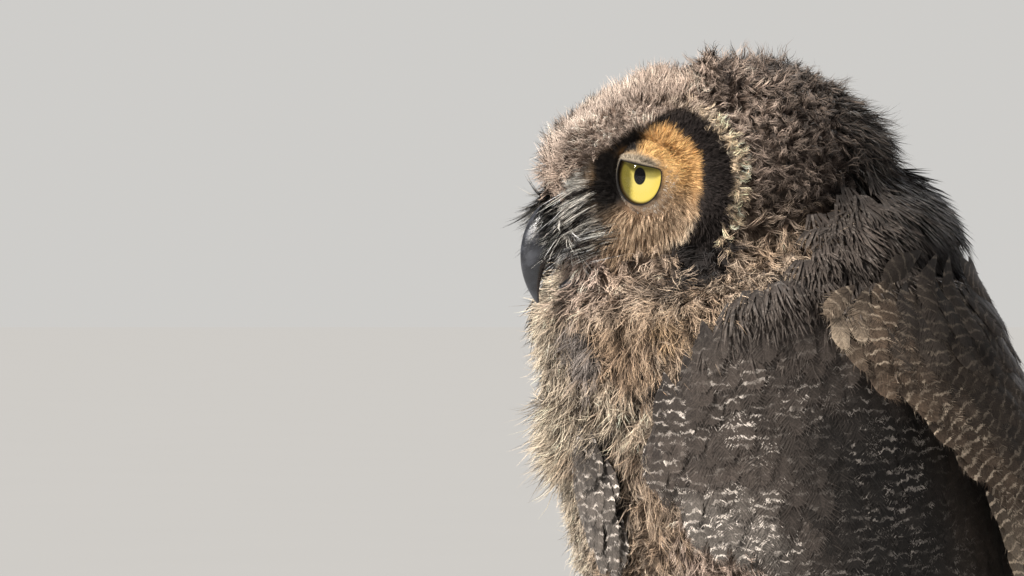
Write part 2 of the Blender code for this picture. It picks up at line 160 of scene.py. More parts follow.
def eye_places():
    """The head's axes as columns, its centre, and each iris centre, from the two eye solids."""
    middle = {side: node_points("eye_" + side).mean(axis=0) for side in SIDES}
    across = unit(middle["left"] - middle["right"])
    axes = np.column_stack([across, np.cross(UP, across), UP])
    irises = {}
    for side in SIDES:
        look = look_of(side, axes)
        ahead = (node_points("eye_" + side) - middle[side]) @ look
        irises[side] = middle[side] + look * (ahead.max() - CORNEA_AHEAD)
    centre = (irises["left"] + irises["right"]) / 2 - axes @ np.array((0, IRIS[1], IRIS[2]))
    return axes, centre, irises


HEAD_AXES, HEAD_CENTRE, IRISES = eye_places()


def in_head(points):
    """Points in the head's axes: left, back and up from its centre."""
    return (points - HEAD_CENTRE) @ HEAD_AXES


def trunk_middle(z):
    """The trunk's middle at each height."""
    back = np.interp(z, AXIS_HEIGHTS, AXIS_BACK) + HEAD_CENTRE[1]
    return np.stack([np.zeros_like(back), back, z + 0 * back], axis=-1)


class Place:
    """Where points of the coat lie: in the head's axes, on the facial disc, and round the trunk.

    reach is 0 at the iris and 1 at the disc's rim; around is degrees on the disc, 0 outwards and 90 up.
    turn is degrees round the trunk, 0 straight ahead and 90 left.
    """

    def __init__(self, points, part):
        self.p, self.part = points, part
        self.q = in_head(points)
        offset = np.column_stack([np.abs(self.q[:, 0]), self.q[:, 1:]]) - IRIS
        self.out, self.up = offset @ DISC_AXIS, offset[:, 2]
        wide = self.out / np.where(self.out > 0, DISC_OUT, DISC_IN)
        high = self.up / np.where(self.up > 0, DISC_UP, DISC_DOWN)
        self.reach = np.hypot(wide, high)
        self.around = np.degrees(np.arctan2(high, wide))
        self.z = points[:, 2]
        self.turn = np.degrees(np.arctan2(points[:, 0], -(points[:, 1] - trunk_middle(self.z)[:, 1])))

    def among(self, *starts):
        """Which points lie on parts whose names start so."""
        return np.isin(self.part, [number for number, name in enumerate(FLESH) if name.startswith(starts)])

    def picked(self, keep):
        return Place(self.p[keep], self.part[keep])

    def __len__(self):
        return len(self.p)


# ---- meshes from arrays
def build_mesh(name, points, triangles):
    """A mesh from arrays of points and triangles, smooth-shaded."""
    mesh = bpy.data.meshes.new(name)
    mesh.vertices.add(len(points))
    mesh.vertices.foreach_set("co", np.asarray(points, np.float32).ravel())
    mesh.loops.add(triangles.size)
    mesh.loops.foreach_set("vertex_index", triangles.astype(np.int32).ravel())
    mesh.polygons.add(len(triangles))
    mesh.polygons.foreach_set("loop_start", np.arange(len(triangles), dtype=np.int32) * 3)
    mesh.polygons.foreach_set("use_smooth", np.ones(len(triangles), bool))
    mesh.update(calc_edges=True)
    return mesh


def add_object(name, data):
    """An object with this data, linked into the scene."""
    added = bpy.data.objects.new(name, data)
    bpy.context.scene.collection.objects.link(added)
    return added


def add_piece(name, mesh, material, slot, *replaced):
    """An object for the mesh, riding on the root, in place of the replaced nodes."""
    piece = add_object(name, mesh)
    mesh.materials.append(material)
    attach(piece, "root")
    if replaced:
        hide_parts(*replaced)


def set_attribute(mesh, name, kind, field, values):
    attribute = mesh.attributes.new(name, kind, "POINT")
    attribute.data.foreach_set(field, np.asarray(values, np.float32).ravel())


def set_colour(mesh, name, colours):
    set_attribute(mesh, name, "FLOAT_COLOR", "color", np.column_stack([colours, np.ones(len(colours))]))


def grid_triangles(rows, columns, closed=False):
    """Triangles of a grid of points, row by row; closed joins the last column to the first."""
    steps = columns if closed else columns - 1
    row, column = np.meshgrid(np.arange(rows - 1), np.arange(steps), indexing="ij")
    a = (row * columns + column).ravel()
    b = (row * columns + (column + 1) % columns).ravel()
    return np.vstack([np.column_stack([a, b, b + columns]), np.column_stack([a, b + columns, a + columns])])


# ---- materials
def math_node(operation, turned=False):
    """A method of Value that adds one Math node; turned puts the other value first."""
    def add(value, *other):
        values = (*other, value) if turned else (value, *other)
        return value.paint.node("Math", {"operation": operation}, dict(enumerate(values)))
    return add


class Value:
    """A socket of a material. Arithmetic on it adds Math nodes."""

    def __init__(self, paint, socket):
        self.paint, self.socket = paint, socket

    __add__, __radd__ = math_node("ADD"), math_node("ADD", True)
    __sub__, __rsub__ = math_node("SUBTRACT"), math_node("SUBTRACT", True)
    __mul__, __rmul__ = math_node("MULTIPLY"), math_node("MULTIPLY", True)
    __truediv__, sine = math_node("DIVIDE"), math_node("SINE")
    least, most = math_node("MINIMUM"), math_node("MAXIMUM")

    def rise(self, low, high):
        """0 below low and 1 above high, along an S-curve."""
        inputs = {"Value": self, "From Min": low, "From Max": high}
        return self.paint.node("MapRange", {"interpolation_type": "SMOOTHSTEP"}, inputs)


class Paint:
    """One material: its shader's steady numbers are set on its own sockets, and what varies is linked."""

    def __init__(self, name, **steady):
        self.material = bpy.data.materials.new(name)
        self.material.use_nodes = True
        self.tree = self.material.node_tree
        self.shader = self.tree.nodes["Principled BSDF"]
        for socket, value in steady.items():
            self.shader.inputs[socket.replace("_", " ")].default_value = value

    def node(self, kind, settings=None, inputs=None, out=0):
        """Adds a node: settings first, then its sockets' numbers or links, and gives the chosen output."""
        node = self.tree.nodes.new("ShaderNode" + kind)
        for key, value in (settings or {}).items():
            setattr(node, key, value)
        for socket, value in (inputs or {}).items():
            self.link(node.inputs[socket], value)
        return Value(self, node.outputs[out])

    def link(self, socket, value):
        if isinstance(value, Value):
            self.tree.links.new(value.socket, socket)
        elif socket.type == "RGBA":
            socket.default_value = (*value, 1.0)
        else:
            socket.default_value = value

    def feed(self, **links):
        for socket, value in links.items():
            self.link(self.shader.inputs[socket.replace("_", " ")], value)
        return self.material

    def attribute(self, name, out="Color"):
        return self.node("Attribute", {"attribute_name": name}, out=out)

    def noise(self, scale, detail=2.0, vector=None, out="Fac"):
        vector = vector or self.node("TexCoord", out="Object")
        inputs = {"Vector": vector, "Scale": scale, "Detail": detail}
        return self.node("TexNoise", {}, inputs, out)

    def mix(self, share, first, second, kind="MIX"):
        settings = {"data_type": "RGBA", "blend_type": kind}
        return self.node("Mix", settings, {0: share, 6: first, 7: second}, 2)

    def split(self, vector):
        return [self.node("SeparateXYZ", {}, {0: vector}, axis) for axis in range(3)]

    def shaded(self, colour, amount):
        """The colour times a number."""
        grey = self.node("CombineColor", {}, {0: amount, 1: amount, 2: amount})
        return self.mix(1.0, colour, grey, "MULTIPLY")

    def vector(self, operation, first, second=None, scale=None, out=0):
        inputs = {0: first, 1: second, "Scale": scale}
        inputs = {socket: value for socket, value in inputs.items() if value is not None}
        return self.node("VectorMath", {"operation": operation}, inputs, out)

    def soft_normal(self, share):
        """The strand's own normal leaned towards the skin's, so that the coat shades as one soft form."""
        skinward = self.attribute("lie", "Vector")
        own = self.node("NewGeometry", out="Normal")
        skinward = self.vector("SCALE", skinward, scale=share)
        leant = self.vector("ADD", skinward, self.vector("SCALE", own, scale=1 - share))
        return self.vector("NORMALIZE", leant)


def down_paint(name, share=0.62, sheen=0.25):
    """Down: its own colour, mottled finely, matt, with a soft sheen."""
    paint = Paint(name, Roughness=0.85, Specular_IOR_Level=0.18, Sheen_Weight=sheen, Sheen_Roughness=0.5)
    fine = paint.noise(2200, 1.0).rise(0.3, 0.7) * 0.5 + 0.75
    colour = paint.shaded(paint.attribute("plumage"), fine)
    return paint.feed(Base_Color=colour, Normal=paint.soft_normal(share))


def vane_paint(name, bar_colour, bar_length, bar_width, share=0.45, wave=0.35, gaps=1.0, grain=0.5):
    """Feather: plumage colour crossed by broken pale bars at even steps along the vane.

    The vane attribute holds millimetres along, share across from -1 to 1, and the strength of the bars. The
    bars stir by the wave share of a step, and the gaps share breaks them up into patches.
    """
    paint = Paint(name, Roughness=0.62, Specular_IOR_Level=0.3, Sheen_Weight=0.1)
    along, across, strength = paint.split(paint.attribute("vane", "Vector"))
    ragged = (paint.noise(260, 2.0) - 0.5) + (paint.noise(1100, 1.0) - 0.5) * 0.35
    phase = along + across * across * (-1.0) + ragged * (bar_length * wave * 3.0)
    phase = phase * (2 * math.pi / bar_length)
    band = phase.sine().rise(1 - 2 * bar_width, 1.2 - bar_width)
    patches = paint.noise(190, 2.0).rise(0.40, 0.60) * (paint.noise(800, 1.0).rise(0.30, 0.55) * 0.6 + 0.4)
    amount = band * (patches * gaps + (1 - gaps)) * strength
    fine = paint.noise(1500, 2.0).rise(0.3, 0.7) * grain + (1 - grain / 2)
    colour = paint.mix(amount.least(1.0), paint.attribute("plumage"), bar_colour)
    return paint.feed(Base_Color=paint.shaded(colour, fine), Normal=paint.soft_normal(share))


def skin_paint():
    """Bare skin: the coat's own colours, mottled and finely lumped."""
    paint = Paint("bare_skin", Roughness=0.8, Specular_IOR_Level=0.2)
    mottle = paint.mix(paint.noise(700, 3.0), (0.6, 0.6, 0.6), (1.2, 1.2, 1.2))
    colour = paint.mix(1.0, paint.attribute("plumage"), mottle, "MULTIPLY")
    lumps = paint.node("Bump", {}, {"Height": paint.noise(900, 3.0), "Strength": 0.6, "Distance": 0.0006})
    return paint.feed(Base_Color=colour, Normal=lumps)


def horn_paint():
    """Bill and claws: blue-black, glossy, with fine growth lines and a worn, paler bloom."""
    paint = Paint("horn", Specular_IOR_Level=0.6, Coat_Weight=0.35, Coat_Roughness=0.18)
    place = paint.node("TexCoord", out="Object")
    bloom = paint.noise(160, 3.0, place).rise(0.35, 0.75)
    lines = paint.node("Mapping", {}, {"Vector": place, "Scale": (1, 1, 5)})
    fine = paint.noise(900, 2.0, lines)
    colour = paint.mix(bloom, (0.018, 0.019, 0.023), (0.052, 0.055, 0.066))
    ridges = paint.node("Bump", {}, {"Height": fine, "Strength": 0.35, "Distance": 0.0003})
    return paint.feed(Base_Color=colour, Roughness=bloom * 0.16 + 0.22, Normal=ridges)


# ---- the skin
FLESH = ["head", "neck", "trunk"]
for _side in SIDES:
    FLESH += ["ear_tuft_" + _side, "wing_" + _side, "thigh_" + _side, "shank_" + _side]
    FLESH += [f"toe_{_side}_{number}" for number in (1, 2, 3, 4)]


def merged(name, meshes, gap, outwards=False):
    """One mesh from copies of these, points nearer than the gap merged, faces turned out if asked."""
    work = bmesh.new()
    for mesh in meshes:
        work.from_mesh(mesh)
    bmesh.ops.remove_doubles(work, verts=work.verts, dist=gap)
    if outwards:
        bmesh.ops.dissolve_degenerate(work, edges=work.edges, dist=1e-7)
        bmesh.ops.recalc_face_normals(work, faces=work.faces)
    mesh = bpy.data.meshes.new(name)
    work.to_mesh(mesh)
    work.free()
    return mesh


def merged_copy(names):
    """One mesh from copies of these solids, whose triangles are loose."""
    return merged("merged", [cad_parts[name].data for name in names], 1e-5)


def remeshed(mesh, voxel):
    """Points and triangles of one closed surface round all of the mesh's solids."""
    maker = add_object("maker", mesh)
    modifier = maker.modifiers.new("one_surface", "REMESH")
    modifier.mode, modifier.voxel_size = "VOXEL", voxel
    made = maker.evaluated_get(bpy.context.evaluated_depsgraph_get()).to_mesh()
    made.calc_loop_triangles()
    points = read_rows(made.vertices, "co", float)
    triangles = read_rows(made.loop_triangles, "vertices", np.int32)
    bpy.data.objects.remove(maker)
    return points, triangles


def sum_at(index, values, count):
    """Sums rows of values that share an index."""
    return np.column_stack([np.bincount(index, column, count) for column in values.T])


def smoothed(values, triangles, rounds, share=0.5):
    """Each point's value moved towards the mean of its neighbours', round after round."""
    ends = np.vstack([triangles[:, [0, 1]], triangles[:, [1, 2]], triangles[:, [2, 0]]])
    count = len(values)
    number = np.bincount(ends[:, 0], minlength=count) + np.bincount(ends[:, 1], minlength=count)
    for _ in range(rounds):
        total = sum_at(ends[:, 0], values[ends[:, 1]], count) + sum_at(ends[:, 1], values[ends[:, 0]], count)
        values = values + share * (total / np.maximum(number, 1)[:, None] - values)
    return values


def point_normals(points, triangles):
    """The sum of each point's face normals, weighted by area, at length 1."""
    a, b, c = (points[triangles[:, k]] for k in range(3))
    face = np.cross(b - a, c - a)
    total = sum(sum_at(triangles[:, k], face, len(points)) for k in range(3))
    return unit(total)


def nearest_part(points):
    """Which flesh solid each point lies on: the one with the nearest face middle or corner."""
    samples, owners = [], []
    for index, name in enumerate(FLESH):
        corners = node_points(name)
        middles = corners.reshape(-1, 3, 3).mean(axis=1) if len(corners) % 3 == 0 else corners
        samples.append(np.vstack([corners[::2], middles]))
        owners.append(np.full(len(samples[-1]), index))
    samples, owners = np.vstack(samples), np.concatenate(owners)
    best = []
    for chunk in np.array_split(points, max(1, len(points) // 1500)):
        gap = (chunk**2).sum(1)[:, None] - 2 * chunk @ samples.T + (samples**2).sum(1)[None]
        best.append(gap.argmin(axis=1))
    return owners[np.concatenate(best)]


def near_bill(place):
    """1 close round the bill's base, 0 a centimetre and more away."""
    offset = (place.q - BILL_BASE - (0, 0.004, -0.017)) / (0.0090, 0.0125, 0.0170)
    return fade(lengths(offset), 0.9, 1.4)


def coat_depth(place):
    """How deep the skin lies under the coat's outer shape, in metres."""
    crown = 0.0085 - 0.0035 * smooth(-place.q[:, 1], 0.01, 0.05)
    disc = fade(place.reach, 0.85, 1.25)
    face = between(crown, 0.0022, disc * smooth(0.014 - place.q[:, 1], 0, 0.012))
    front = bump(place.turn, 0, 50)
    body = 0.007 + 0.009 * front * smooth(place.z, 0.19, 0.25)
    depth = np.full(len(place.p), 0.010)
    depths = {"head": face, "ear": face, "neck": 0.014, "trunk": body, "wing": 0.0022, "thigh": 0.009,
              "shank": 0.0045}
    for start, own in depths.items():
        depth = np.where(place.among(start), own, depth)
    depth = np.where(place.z < 0.016, 0.0012, depth)
    return between(depth, 0.0008, near_bill(place) * place.among("head", "ear"))


def make_skin():
    """The coat's outer shape and the skin under it, as two sets of points with the same triangles."""
    outer, triangles = remeshed(merged_copy(FLESH), VOXEL)
    outer = smoothed(outer, triangles, 4)
    part = nearest_part(outer)
    normals = point_normals(outer, triangles)
    place = Place(outer, part)
    depth = smoothed(coat_depth(place)[:, None], triangles, 10)[:, 0]
    inner = outer - smoothed(normals, triangles, 3) * depth[:, None]
    inner = smoothed(inner, triangles, 3)
    inner[:, 2] = np.maximum(inner[:, 2], SKIN_GAP)
    return outer, inner, triangles, unit(smoothed(normals, triangles, 2)), depth, part


OUTER, INNER, TRIANGLES, NORMALS, DEPTH, PART = make_skin()
WHOLE = Place(OUTER, PART)


# ---- markings, for skin and coat alike
BROW_UP, BROW_SLOPE = 0.0180, 0.62  # the brow line's height over the iris, and its rise outwards


def under_brow(place):
    """1 below the slanting brow line, 0 above it, where the forehead's down hangs over the disc."""
    line = BROW_UP + BROW_SLOPE * place.out
    return 1 - smooth(place.up - line, 0.0004, 0.0022) * fade(place.out, 0.010, 0.016)


def disc_colour(place):
    """Root and tip colours on the facial disc and round it, by reach and direction from the eye."""
    reach, around = place.reach, place.around
    ragged = reach + 0.035 * wobble(place.p, 0.006, 3)
    below = smooth(-around, -4, 56) * fade(np.abs(around), 150, 175)
    forward = smooth(np.abs(around), 118, 150)
    tip = blend(C.orange * (1 - 0.22 * smooth(-around, -20, 40))[:, None], C.under_eye, below)
    root = blend(C.orange_root, C.umber, below)
    mottle = smooth(wobble(place.p, 0.005, 5), 0.0, 0.7) * below
    tip = blend(tip, C.umber, 0.75 * mottle)
    pale_edge = below * bump(ragged, 0.80, 0.09) * smooth(place.out, 0.002, 0.012)
    tip = blend(tip, C.cream_tip, 0.9 * pale_edge)
    dark_front = forward * fade(ragged, 0.62, 0.80) * smooth(0.012 - place.up, 0, 0.004)
    over_lid = smooth(place.up, 0.0085, 0.0110) * fade(place.out, -0.002, 0.0035)
    dark_front = np.maximum(dark_front, over_lid)
    streaks = smooth(wobble(place.p * (1, 1, 3.0), 0.007, 9), -0.5, 0.5)
    lores = blend(C.bristle_pale, C.black, 0.75 * streaks)
    ahead = forward * smooth(ragged, 0.60, 0.80)
    root, tip = both(root, tip, C.umber, lores, ahead)
    root, tip = both(root, tip, C.black, C.black, dark_front)
    inner_edge = 0.62 + 0.05 * bump(around, 60, 30) + 0.12 * bump(around, -62, 26)
    band = smooth(ragged, inner_edge, inner_edge + 0.06)
    band = band * (1 - forward) * np.where(place.up < 0, smooth(place.out, 0.002, 0.009), 1)
    rim_tip = blend(C.rim, C.crown_root, smooth(around, 55, 95))
    root, tip = both(root, tip, C.black, rim_tip, band)
    # painted shade: a black line along the crease under the brow, where the forehead's down hangs over the
    # disc
    brow_crease_shade = bump(place.up - BROW_UP - BROW_SLOPE * place.out, -0.0008, 0.0026)
    brow_crease_shade = brow_crease_shade * smooth(place.out, -0.030, -0.014) * fade(place.out, 0.010, 0.020)
    return both(root, tip, C.black, C.black, brow_crease_shade)


def plumage(place):
    """Root and tip colour of the coat at each point, the same for skin, down and feathers."""
    q = place.q
    head = place.among("head", "ear").astype(float)
    fore = smooth(-q[:, 1], 0.020, 0.055) * smooth(q[:, 2], -0.005, 0.012)
    crown_root, crown_tip = both(C.crown_root, C.crown_tip, C.forehead_root, C.forehead_tip, fore)
    patch = smooth(wobble(place.p, 0.016, 7), -0.2, 0.7)
    crown_tip = crown_tip * (0.66 + 0.46 * patch)[:, None]
    # painted shade: tips and roots darker towards the back of the head, which is turned away from the key
    # light
    rear_shade = smooth(q[:, 1] - 0.35 * q[:, 2], -0.022, 0.020)
    crown_tip = crown_tip * (1 - 0.52 * rear_shade)[:, None]
    crown_root = crown_root * (1 - 0.6 * rear_shade)[:, None]
    cream = bump(place.reach, 1.05, 0.045) * smooth(place.out, 0.002, 0.014)
    cream = cream * (1 - 0.6 * smooth(place.around, 35, 65))
    crown_root, crown_tip = both(crown_root, crown_tip, C.cream_root, C.cream_tip, cream)
    cheek = smooth(-q[:, 2], 0.012, 0.03) * smooth(q[:, 1], -0.03, 0.0)
    crown_tip = blend(crown_tip, C.buff_tip, cheek)
    orange_spot = np.exp(-np.sum(((q - (0.055, -0.012, -0.036)) / (0.02, 0.010, 0.008)) ** 2, axis=1))
    crown_tip = blend(crown_tip, C.tawny_tip, orange_spot)
    nape = smooth(q[:, 1], 0.030, 0.062)
    crown_tip = blend(crown_tip, C.mantle * 1.3, 0.92 * nape)
    crown_root = blend(crown_root, C.soot * 0.6, nape)
    chin = smooth(-q[:, 1], 0.02, 0.045) * smooth(-q[:, 2], 0.020, 0.032)
    crown_tip = blend(crown_tip, C.pink, chin)
    # the fold between the disc's lower rim and the neck ruff: as painted shadow, the disc's black rim is
    # drawn further out there
    fold = 0.17 * bump(place.around, -52, 24) * smooth(place.out, 0.003, 0.010)
    on_disc = fade(place.reach, 1.0 + fold, 1.04 + fold) * smooth(0.020 - q[:, 1], 0, 0.006)
    on_disc = on_disc * under_brow(place)
    on_head = both(crown_root, crown_tip, *disc_colour(place), on_disc)

    body_root, body_tip = body_colours(place)
    # painted shadow: the body's coat just under the disc's lower rim, in the fold, turned black and dark
    fold_shadow = fade(place.reach, 1.02 + fold, 1.10 + fold) * smooth(fold, 0.04, 0.10)
    body_root, body_tip = both(body_root, body_tip, C.black, C.rim, fold_shadow)
    root, tip = both(body_root, body_tip, *on_head, head)

    wing = place.among("wing").astype(float)
    root, tip = both(root, tip, *FLIGHT_COLOURS, wing)
    legs = 1 - np.clip(head + place.among("neck", "trunk") + wing, 0, 1)
    high = 0.9 * smooth(place.z + 0.006 * wobble(place.p, 0.012, 73), 0.112, 0.150)
    return both(root, tip, *both(C.leg_root, C.leg_buff, body_root, body_tip, high), legs)


def patch_at(place, turn, z, wide, high):
    """1 in the middle of a soft oval patch on the body and 0 outside it; wide in degrees, high in metres."""
    stir = 0.25 * wobble(place.p, 0.012, 19)
    return fade(np.hypot((place.turn - turn) / wide, (place.z - z) / high) + stir, 0.7, 1.15)


def body_colours(place):
    """Root and tip colours of neck and trunk: buff and tawny wool in front, grey-brown feathers beyond it."""
    z, turn = place.z, place.turn
    clump = smooth(wobble(place.p * (1, 1, 0.6), 0.015, 11), -0.3, 0.6)
    tip = blend(C.buff_tip, C.tawny_tip, 0.75 * clump)
    shade = smooth(wobble(place.p, 0.010, 12), 0.15, 0.8)
    tip = tip * (1 - 0.45 * shade)[:, None]
    tip = blend(tip, C.pink, bump(turn, -25, 25) * smooth(z, 0.285, 0.305))
    tip = blend(tip, C.tawny_tip, 0.8 * patch_at(place, 0, 0.272, 11, 0.018))
    tip = blend(tip, C.orange * 0.85, 0.45 * patch_at(place, 18, 0.282, 7, 0.010))
    tip = blend(tip, C.cream_tip * 0.86, smooth(-turn, 20, 32) * fade(-turn, 75, 95))
    tip = blend(tip, C.cream_tip * 0.92, 0.85 * patch_at(place, -18, 0.246, 30, 0.013))
    tip = blend(tip, C.pink * 0.85, 0.8 * patch_at(place, 20, 0.196, 14, 0.020))
    slate = patch_at(place, -16, 0.272, 7, 0.018)
    tip, root = blend(tip, C.slate, slate), blend(C.buff_root, C.soot, slate)
    # painted shadow: a small black spot in the breast wool, for a gap that lies in shade
    hole = patch_at(place, 10.5, 0.257, 3.5, 0.009)
    root, tip = both(root, tip, C.black, C.black, hole)
    belly = smooth(0.185 - z, 0, 0.03)
    tip = blend(tip, C.cream_tip * 0.9, 0.7 * belly)
    return both(root, tip, *feather_colours(place), feather_zone(place))


def feather_colours(place):
    """Root and tip colours of the body feathers: grey-brown, mantle brown behind, with painted shade under
    the wing and nape.
    """
    away = np.abs(place.turn)
    behind, under_wing_shade = smooth(away, 78, 100), smooth(away, 40, 62) * smooth(0.285 - place.z, 0, 0.03)
    # painted shade: the flank under the wing darkened to near black
    tip = blend(C.grey_brown, C.grey_brown * 0.23, under_wing_shade)
    # behind: the mantle's own colour, made darker upwards towards the nape as painted shade under the head
    tip = blend(tip, C.mantle * (1 - 0.45 * smooth(place.z, 0.26, 0.30))[:, None], behind)
    pale = 0.10 * patch_at(place, -14, 0.217, 12, 0.028) + 0.16 * patch_at(place, 27, 0.210, 16, 0.026)
    tip = blend(tip, C.white * 0.6, pale) * (1 + 0.22 * wobble(place.p, 0.016, 23))[:, None]
    # roots: darker behind, and darker under the wing as painted shade
    root = blend(C.soot, C.wing_dark, np.maximum(behind, 0.6 * under_wing_shade))
    return root, tip


BIB_HEIGHTS = (0.10, 0.14, 0.17, 0.19, 0.205, 0.235, 0.255, 0.280, 0.300, 0.325)
# degrees from straight ahead at which the wool gives way to feathers, at those heights
BIB_LEFT = (70, 60, 48, 34, 18, 9, 14, 27, 43, 66)
BIB_RIGHT = (80, 74, 68, 66, 66, 68, 70, 74, 77, 78)


def beyond_wool(place):
    """Degrees round the body past the edge of the woolly bib; negative on the bib."""
    left_edge = np.interp(place.z, BIB_HEIGHTS, BIB_LEFT) + 6 * wobble(place.p, 0.028, 13)
    right_edge = np.interp(place.z, BIB_HEIGHTS, BIB_RIGHT) + 6 * wobble(place.p, 0.028, 14)
    return np.where(place.turn > 0, place.turn - left_edge, -place.turn - right_edge)


def feather_zone(place):
    """0 on the woolly bib and breast, 1 where the body already wears juvenile feathers."""
    return np.maximum(smooth(beyond_wool(place), -3, 6), patch_at(place, -14, 0.217, 9, 0.024))


# ---- roots, flow and strands
PATCH = 0.003  # a tuft's patch on the bake map
BAKE_MARGIN, UNWRAP_HEIGHT = 0.01, 0.42
MOST_TRIANGLES = 170_000  # in one piece of coat
FLOOR_GAP = 0.0003  # no strand hangs lower than this
POINTS_PER_CELL = 5  # before thinning
CELL_CODE = np.array((4_000_003, 2_003, 1))  # gives each cell of a grid a number of its own
PAINT_RANGE = 0.004, 0.95  # darkest and lightest colour of a strand
FIELDS = "points", "plumage", "lie", "local", "vane"  # what each point of a strand holds


def scatter(chosen, spacing, seed):
    """Even-ish roots where the mask is set: many random points, thinned through two grids of cells."""
    rng = default_rng(seed)
    triangles = TRIANGLES[chosen[TRIANGLES].mean(axis=1) > 0.5]
    a, b, c = (OUTER[triangles[:, k]] for k in range(3))
    area = lengths(np.cross(b - a, c - a)) / 2
    count = int(area.sum() / spacing**2 * POINTS_PER_CELL)
    face = rng.choice(len(triangles), count, p=area / area.sum())
    u, v = rng.random(count), rng.random(count)
    over = u + v > 1
    u[over], v[over] = 1 - u[over], 1 - v[over]
    shares = np.column_stack([1 - u - v, u, v])
    points = (OUTER[triangles[face]] * shares[..., None]).sum(axis=1)
    keep = np.arange(count)
    for cell, shift in ((spacing, 0.0), (spacing * 0.8, spacing * 0.37)):
        keys = np.floor((points[keep] + shift + 1) / cell).astype(np.int64)
        code = keys @ CELL_CODE
        keep = keep[np.unique(code, return_index=True)[1]]
    keep.sort()
    return Roots(triangles[face[keep]], shares[keep])


class Roots(Place):
    """Roots of tufts: places on the coat's outer shape, with their points on the skin, normals and depth."""

    def __init__(self, corners, shares):
        def read(values):
            return (values[corners] * (shares[..., None] if values.ndim > 1 else shares)).sum(axis=1)

        self.corners, self.shares = corners, shares
        self.skin, self.outer = read(INNER), read(OUTER)
        self.normal, self.depth = unit(read(NORMALS)), read(DEPTH)
        super().__init__(self.outer, PART[corners[:, 0]])

    def picked(self, keep):
        return Roots(self.corners[keep], self.shares[keep])


def tangent(vectors, normals):
    """The part of each vector that lies along the surface."""
    return unit(vectors - normals * (vectors * normals).sum(axis=1, keepdims=True))


def every_way(roots, seed):
    """A random direction along the surface for each root."""
    return tangent(default_rng(seed).normal(0, 1, (len(roots), 3)), roots.normal)


def on_part(points, part):
    """Points that all lie on the part of that name."""
    return Place(points, np.full(len(points), FLESH.index(part)))


def lie_of_coat(roots):
    """Which way the coat lies: back over the head, out from the eyes on the discs, down the body."""
    place, q, count = roots, roots.q, len(roots)
    nape = smooth(q[:, 1], 0.0, 0.055)
    side = np.sign(q[:, 0]) * smooth(np.abs(q[:, 0]), 0, 0.02)
    over_head = np.column_stack([0.25 * side * (1 - nape), 1 - 0.6 * nape, -0.15 - 0.9 * nape]) @ HEAD_AXES.T
    chin = smooth(-q[:, 1], 0.02, 0.05) * smooth(-q[:, 2], 0.015, 0.03)
    over_head = blend(over_head, np.array((0, 0, -1.0)) + over_head * 0.25, chin)
    signs = np.where(q[:, 0] < 0, -1.0, 1.0)
    iris = IRIS * np.column_stack([signs, np.ones(count), np.ones(count)])
    radial = unit(q - iris) @ HEAD_AXES.T
    disc = fade(place.reach, 0.95, 1.35) * smooth(0.016 - q[:, 1], 0, 0.008)
    head_flow = blend(unit(over_head), radial, disc)
    outwards = np.column_stack([roots.normal[:, 0], roots.normal[:, 1], np.zeros(count)])
    body_flow = np.array((0.0, 0.10, -1.0)) + outwards * 0.05
    for side_name in SIDES:
        low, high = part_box("shank_" + side_name)
        middle = np.array(((low.x + high.x) / 2, -0.002, 0.0))
        outward = place.p - middle
        outward[:, 2] = -0.01
        near = place.among("toe_" + side_name)
        body_flow[near] = outward[near]
    head = place.among("head", "ear").astype(float)
    return tangent(blend(body_flow, head_flow, head), roots.normal)


def each(value, count):
    """A number, or a row of them, as one number for each tuft or feather."""
    return np.broadcast_to(np.asarray(value, float), (count,))


def spread_over(values, shape):
    """The values repeated to that shape, in one row."""
    return np.broadcast_to(values, shape).ravel()


def stirred_lie(roots, amount, seed):
    """The lie of the coat, turned at random by this much."""
    return tangent(lie_of_coat(roots) + every_way(roots, seed) * amount, roots.normal)


def repeated(triangles, count, size):
    """The triangles of one shape of so many points, numbered on for each of count shapes."""
    return (np.arange(count)[:, None, None] * size + triangles[None]).reshape(-1, 3)


def strand_triangles(count, segments):
    """Triangles of count strips, each of segments pairs of points and one tip."""
    size = 2 * segments + 1
    k = np.arange(segments - 1) * 2
    one = np.vstack([np.column_stack([k, k + 1, k + 3]), np.column_stack([k, k + 3, k + 2]),
                     [(size - 3, size - 2, size - 1)]])
    return repeated(one, count, size)


